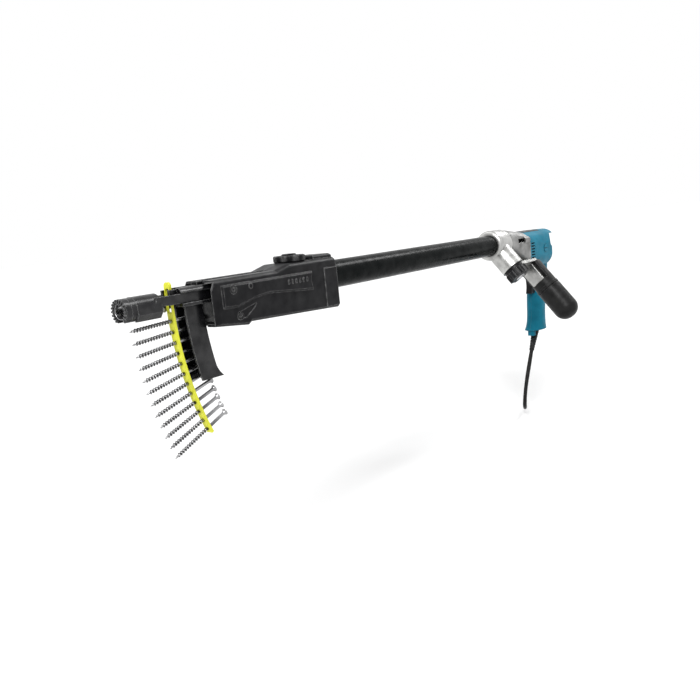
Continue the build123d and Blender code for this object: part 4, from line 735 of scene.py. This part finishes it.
# Distance out from the arm's edge, and height from its middle, of the corners of the strip of painted shadow,
# in mm
EDGE_SECTION = [(-0.5, -2.9), (0.3, -2.9), (0.6, -2.6), (0.6, 2.6), (0.3, 2.9), (-0.5, 2.9)]


def boss_frame(distance):
    """A place along the side handle's axis."""
    return axis_frame(Vector((X_BOSS, 0, 0)) + distance * BOSS_AXIS, BOSS_AXIS, (1, 0, 0))


def add_heads(name, places, head, recess, body, slot):
    """A piece with one screw head at each place."""
    shape = Shape()
    for place in places:
        screw_head(shape, place, *head, recess)
    add_piece(name, shape.mesh(name), body, slot)


def make_fixings():
    """Screws that hold the shells, the gear case and the grip, and the cap of the knob."""
    shells = [axis_frame((X_HOUSING + station, side * y, z), (0, side, 0))
              for side in SIDES for station, y, z in SHELL_SEATS]
    add_heads("housing_screws", shells, SHELL_HEAD, cross_recess, "frame", "nose_black")
    x, y, z = CASE_SEAT
    case = [axis_frame((x, side * y, z), (-1, 0, 0)) for side in SIDES]
    add_heads("case_screws", case, CASE_HEAD, hex_recess, "frame", "nose_black")
    grip = [axis_frame(seat, (0, 1, 0)) for seat in GRIP_SEATS]
    add_heads("grip_screws", grip, GRIP_HEAD, cross_recess, "frame", "screw_grey")
    add_heads("knob_cap", [boss_frame(KNOB_FACE)], KNOB_CAP, hex_recess, "clamp_knob", "bright_steel")


def make_arm_shadow_strip():
    """A black strip on the round end of the side handle's arm: painted shadow between the knob and the arm.
    """
    place = boss_frame(ARM_MIDDLE)
    rings = []
    for k in range(EDGE_STEPS + 1):
        angle = math.pi / 2 + math.pi * k / EDGE_STEPS
        rings.append([place @ circle_point(ARM_HALF + rise * MM, angle, height * MM)
                      for rise, height in EDGE_SECTION])
    shape = Shape()
    shape.loft(rings)
    add_piece("arm_shadow_strip", shape.mesh("arm_shadow_strip"), "side_handle", "trim_black")


# Nose liner

# Distance from the mouth and radius of each ring, in mm
LINER_RINGS = [(1.7, 8.15), (1.5, 7.9), (1.7, 7.7), (14.0, 7.7), (14.2, 7.9), (14.0, 8.15), (1.7, 8.15)]
LINER_STEPS = 40


def make_liner():
    """A bright steel lining in the mouth of the nose."""
    place = axis_frame((X_NOSE, 0, 0), (1, 0, 0))
    shape = Shape()
    shape.lathe(place, [(z * MM, r * MM) for z, r in LINER_RINGS], LINER_STEPS)
    add_piece("nose_liner", shape.mesh("nose_liner"), "nose", "bright_steel")


# Cord guard, from the grip's foot

GUARD_FOOT = (-0.047, 0, -0.190)
GUARD_RAKE = math.radians(32)
GUARD_ROOT = 0.008
GUARD_TIP = 0.005
GUARD_LIP = 0.6 * MM
GUARD_LENGTH = 0.050
GUARD_SINK = 6 * MM
GUARD_COLLAR = 2 * MM
GUARD_PLAIN = 4 * MM
GUARD_RIBS = 8
GUARD_STEPS = 32

# Share of the way from rib to rib, and depth in mm, of each point of a groove
GUARD_GROOVE = [(0.12, 0), (0.2, 0.9), (0.42, 1.0), (0.5, 0.15), (0.66, 0), (1.0, 0)]


def make_guard():
    """The cord guard: a taper with grooves between soft ribs."""
    along = Vector((-math.sin(GUARD_RAKE), 0, -math.cos(GUARD_RAKE)))
    profile = [(-GUARD_SINK, 0), (-GUARD_SINK, GUARD_ROOT), (GUARD_COLLAR, GUARD_ROOT)]
    rib = (GUARD_LENGTH - GUARD_PLAIN) / GUARD_RIBS
    for k in range(GUARD_RIBS):
        for share, depth in GUARD_GROOVE:
            height = GUARD_COLLAR + rib * (k + share)
            taper = GUARD_ROOT + (GUARD_TIP - GUARD_ROOT) * height / GUARD_LENGTH
            profile.append((height, taper - depth * MM))
    profile += [(GUARD_LENGTH, GUARD_TIP - GUARD_LIP), (GUARD_LENGTH, 0)]
    shape = Shape()
    shape.lathe(axis_frame(GUARD_FOOT, along, (0, 1, 0)), profile, GUARD_STEPS)
    add_piece("guard_ribs", shape.mesh("guard_ribs"), "frame", "grip_rubber", ["cord_guard"])


# Saddle, where the motor meets the grip, in mm

# Height, rear and half width of each ring
SADDLE = [
    (-9, -31.5, 19.0), (-14, -27, 20.0), (-18, -21, 20.6), (-22, -15.5, 20.8), (-27, -10, 20.8),
    (-32, -5, 20.6), (-38, -1.6, 20.2), (-46, 0.3, 19.5), (-56, 1.8, 18.2), (-66, 2.6, 16.5),
]
SADDLE_FRONT = -52
SADDLE_POWER = 2.2
SADDLE_STEPS = 48


def make_saddle():
    """The rounded back of the motor housing that the web of the hand bears on."""
    rings = []
    for z, rear, half_width in SADDLE:
        middle = (rear + SADDLE_FRONT) / 2
        ring = oval((rear - SADDLE_FRONT) / 2, half_width, SADDLE_POWER, SADDLE_STEPS)
        rings.append([((middle + u) * MM, v * MM, z * MM) for u, v in ring])
    shape = Shape()
    shape.loft(rings)
    add_piece("saddle_back", shape.mesh("saddle_back"), "frame", "motor_blue")


# Top plate, on the motor's arched top, in mm

BODY_TOP = 18
BODY_FLAT = 8
BODY_ROUND = 27
PLATE_LEAN = math.radians(22)
PLATE_SINK = 0.8
PLATE_EDGE_SHARE = 0.3
PLATE_STEPS = 18

# Station, share of the half width and rise of each ring
PLATE_RINGS = [
    (-129.0, 0.90, 0.1), (-128.4, 0.93, 0.45), (-127.2, 0.97, 0.6), (-125.0, 1.0, 0.6), (-100, 1.0, 0.6),
    (-75, 1.0, 0.6), (-50.0, 1.0, 0.6), (-47.8, 0.97, 0.6), (-46.6, 0.93, 0.45), (-46.0, 0.90, 0.1),
]


def body_arch(share, rise):
    """Y and Z of a point over the motor's top, by its share of the plate's half width and its rise."""
    along = share * (BODY_FLAT + BODY_ROUND * PLATE_LEAN)
    flat = max(-BODY_FLAT, min(BODY_FLAT, along))
    lean_angle = (along - flat) / BODY_ROUND
    reach = BODY_ROUND + rise
    return flat + reach * math.sin(lean_angle), BODY_TOP - BODY_ROUND + reach * math.cos(lean_angle)


def make_top_plate():
    """The dark, bare plate that is bent over the top of the motor."""
    rings = []
    for x, width, rise in PLATE_RINGS:
        ring = []
        for k in range(PLATE_STEPS + 1):
            share = 2 * k / PLATE_STEPS - 1
            ring.append((share * width, rise if 0 < k < PLATE_STEPS else PLATE_EDGE_SHARE * rise))
        ring += [(share, -PLATE_SINK) for share, _ in reversed(ring)]
        rings.append([Vector((x, *body_arch(share, lift))) * MM for share, lift in ring])
    shape = Shape()
    shape.loft(rings)
    add_piece("top_plate", shape.mesh("top_plate"), "frame", "trim_black")


# Mains lead: from the guard's tip, down in a loop and up to a hank on the motor's right side

CORD_D = 0.0075
CORD_EXIT = (-0.0735, 0, -0.2324)
LEAD = [
    CORD_EXIT,
    (-0.1000, 0, -0.2748),
    (-0.118, 0.002, -0.335),
    (-0.078, 0.019, -0.364),
    (-0.040, 0.035, -0.334),
    (0.002, 0.034, -0.257),
    (0.032, 0.036, -0.195),
    (0.044, 0.040, -0.120),
    (0.051, 0.045, -0.070),
]

# Hank: centres of its two ends, radii of its turns, places of its layers, and the point that the lead joins
HANK_REAR = 0.020
HANK_FRONT = -0.040
HANK_Z = -0.024
HANK_OUTER = 0.03125
HANK_INNER = HANK_OUTER - CORD_D
HANK_Y = [0.04675, 0.05425, 0.06175]
HANK_JOIN = 3
FOLD_STEP = math.radians(36)

# Plug
PLUG_Y = 0.0791
PLUG_Z = -0.00025
PLUG_NECK_X = 0.0
PLUG_STEPS = 40

# Station, half width and half height in mm, and squareness, of each ring from its neck
PLUG_RINGS = [
    (0.0, 4.2, 4.2, 2), (-1.0, 5.2, 5.2, 2), (-3.0, 5.4, 5.4, 2), (-3.4, 4.6, 4.6, 2), (-4.6, 4.6, 4.6, 2),
    (-5.0, 5.8, 5.8, 2), (-7.0, 6.0, 6.0, 2), (-7.4, 5.0, 5.0, 2), (-8.6, 5.0, 5.0, 2), (-9.0, 6.4, 6.4, 2),
    (-11.0, 6.6, 6.6, 2), (-11.4, 5.6, 5.6, 2), (-12.6, 5.8, 5.8, 2), (-13.0, 7.0, 7.2, 2.2),
    (-18.0, 9.4, 10.8, 2.6), (-24.0, 10.8, 12.8, 3), (-30.0, 10.6, 12.6, 3), (-36.0, 10.2, 12.0, 3),
    (-43.0, 10.8, 12.8, 3.4), (-48.0, 11.9, 13.9, 4), (-54.0, 12.0, 14.0, 4), (-55.6, 11.7, 13.7, 4),
    (-56.0, 11.0, 13.0, 4),
]

# Pins, in mm: station and share of the full section of each ring
PIN_RINGS = [(-55.0, 1.0), (-70.0, 1.0), (-72.2, 0.8), (-73.0, 0.45)]
PIN_HALF = (3.15, 0.8)
PIN_POWER = 6
PIN_STEPS = 20
PIN_PLACE = 6.35

# Strap: its middle line, section as shares of its half width and half thickness, and lapped end
TIE_X = -0.036
TIE_HALF = 0.009
TIE_NEAR = 0.0382
TIE_FAR = 0.0663
TIE_LOW = -0.0598
TIE_HIGH = 0.0118
TIE_CORNER = 0.00455
TIE_CORNER_POINTS = 7
TIE_THICK = 0.0015
TIE_SECTION = [(-0.96, -1), (0.96, -1), (1, -0.5), (1, 0.5), (0.96, 1), (-0.96, 1), (-1, 0.5), (-1, -0.5)]
LAP_WIDTH = 0.93
LAP_OUT = 0.95
LAP_RINGS = [(-0.052, 0.9), (-0.040, 1.0), (-0.024, 1.0), (-0.018, 0.5)]


def fold(centre_x, side, radius, y_from, y_to):
    """Points round one end of the hank, upward at the rear (side 1) and downward at the front."""
    reach = radius / math.cos(FOLD_STEP / 2)
    tail = reach * math.sin(FOLD_STEP / 2)
    bend = [(reach * math.cos(k * FOLD_STEP), reach * math.sin(k * FOLD_STEP)) for k in range(-2, 3)]
    turns = [(-tail, -radius), *bend, (-tail, radius)]
    last = len(turns) - 1
    return [(centre_x + side * u, y_from + (y_to - y_from) * k / last, HANK_Z + side * v)
            for k, (u, v) in enumerate(turns)]


def hank_points():
    """Six turns, two in each of three layers, then the last half turn into the plug.

    The lead joins the first turn on its way up.
    """
    near, middle, far = HANK_Y
    turns = [(HANK_OUTER, near), (HANK_INNER, near), (HANK_INNER, middle),
             (HANK_OUTER, middle), (HANK_OUTER, far), (HANK_INNER, far)]
    points = []
    for radius, y in turns:
        points += fold(HANK_REAR, 1, radius, y, y) + fold(HANK_FRONT, -1, radius, y, y)
    points += fold(HANK_REAR, 1, HANK_INNER, far, PLUG_Y)
    return points[HANK_JOIN:] + [(PLUG_NECK_X, PLUG_Y, HANK_Z + HANK_INNER)]


def make_plug():
    """A moulded plug with a ribbed neck and two flat pins."""
    body = Shape()
    body.loft([[(x * MM, PLUG_Y + u * MM, PLUG_Z + v * MM) for u, v in oval(a, b, power, PLUG_STEPS)]
               for x, a, b, power in PLUG_RINGS])
    section = oval(*PIN_HALF, PIN_POWER, PIN_STEPS)
    pins = Shape()
    for side in SIDES:
        pins.loft([[(x * MM, PLUG_Y + u * share * MM, PLUG_Z + (side * PIN_PLACE + v * share) * MM)
                    for u, v in section] for x, share in PIN_RINGS])
    return [add_piece("plug_body", body.mesh("plug_body"), "frame", "cord_rubber", ["plug"]),
            add_piece("plug_pins", pins.mesh("plug_pins"), "frame", "bright_steel")]


def tie_path():
    """The middle of the strap round the hank, with where it faces, as (y, z, turn)."""
    corners = [(TIE_FAR, TIE_HIGH), (TIE_NEAR, TIE_HIGH), (TIE_NEAR, TIE_LOW), (TIE_FAR, TIE_LOW)]
    inward = [(-1, -1), (1, -1), (1, 1), (-1, 1)]
    path = []
    for quarter, ((y, z), (v, w)) in enumerate(zip(corners, inward)):
        for k in range(TIE_CORNER_POINTS):
            turn = math.pi / 2 * (quarter + k / (TIE_CORNER_POINTS - 1))
            path.append((y + (v + math.cos(turn)) * TIE_CORNER, z + (w + math.sin(turn)) * TIE_CORNER, turn))
    return path


def make_tie():
    """A woven strap with soft edges round the hank, its end lapped over on the outside."""
    band = [(across * TIE_HALF, out * TIE_THICK / 2) for across, out in TIE_SECTION]
    shape = Shape()
    shape.loft([[(TIE_X + across, y + out * math.cos(turn), z + out * math.sin(turn)) for across, out in band]
                for y, z, turn in tie_path()], closed=True)
    lap = TIE_FAR + LAP_OUT * TIE_THICK
    shape.loft([[(TIE_X + LAP_WIDTH * across, lap + out * share, z) for across, out in band]
                for z, share in LAP_RINGS])
    return add_piece("tie_strap", shape.mesh("tie_strap"), "frame", "strap_black", ["cord_tie"])


def make_cord():
    """The mains lead as one curve, with the plug and the strap that go with it."""
    route = LEAD + hank_points()
    curve = bpy.data.curves.new("mains_cord", "CURVE")
    curve.dimensions = "3D"
    curve.bevel_depth = CORD_D / 2
    curve.bevel_resolution = 3
    curve.resolution_u = 6
    curve.use_fill_caps = True
    spline = curve.splines.new("NURBS")
    spline.points.add(len(route) - 1)
    for point, place in zip(spline.points, route):
        point.co = (*place, 1)
    spline.order_u = 3
    spline.use_endpoint_u = True
    curve.materials.append(LOOKS["cord_rubber"])
    cord = add_object("mains_cord", curve)
    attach(cord, "frame")
    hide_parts("cord_lead", "cord_hank")
    make_plug() + [make_tie()]


make_screws()
make_springs()
make_dial()
make_fixings()
make_arm_shadow_strip()
make_liner()
make_guard()
make_saddle()
make_top_plate()
make_cord()
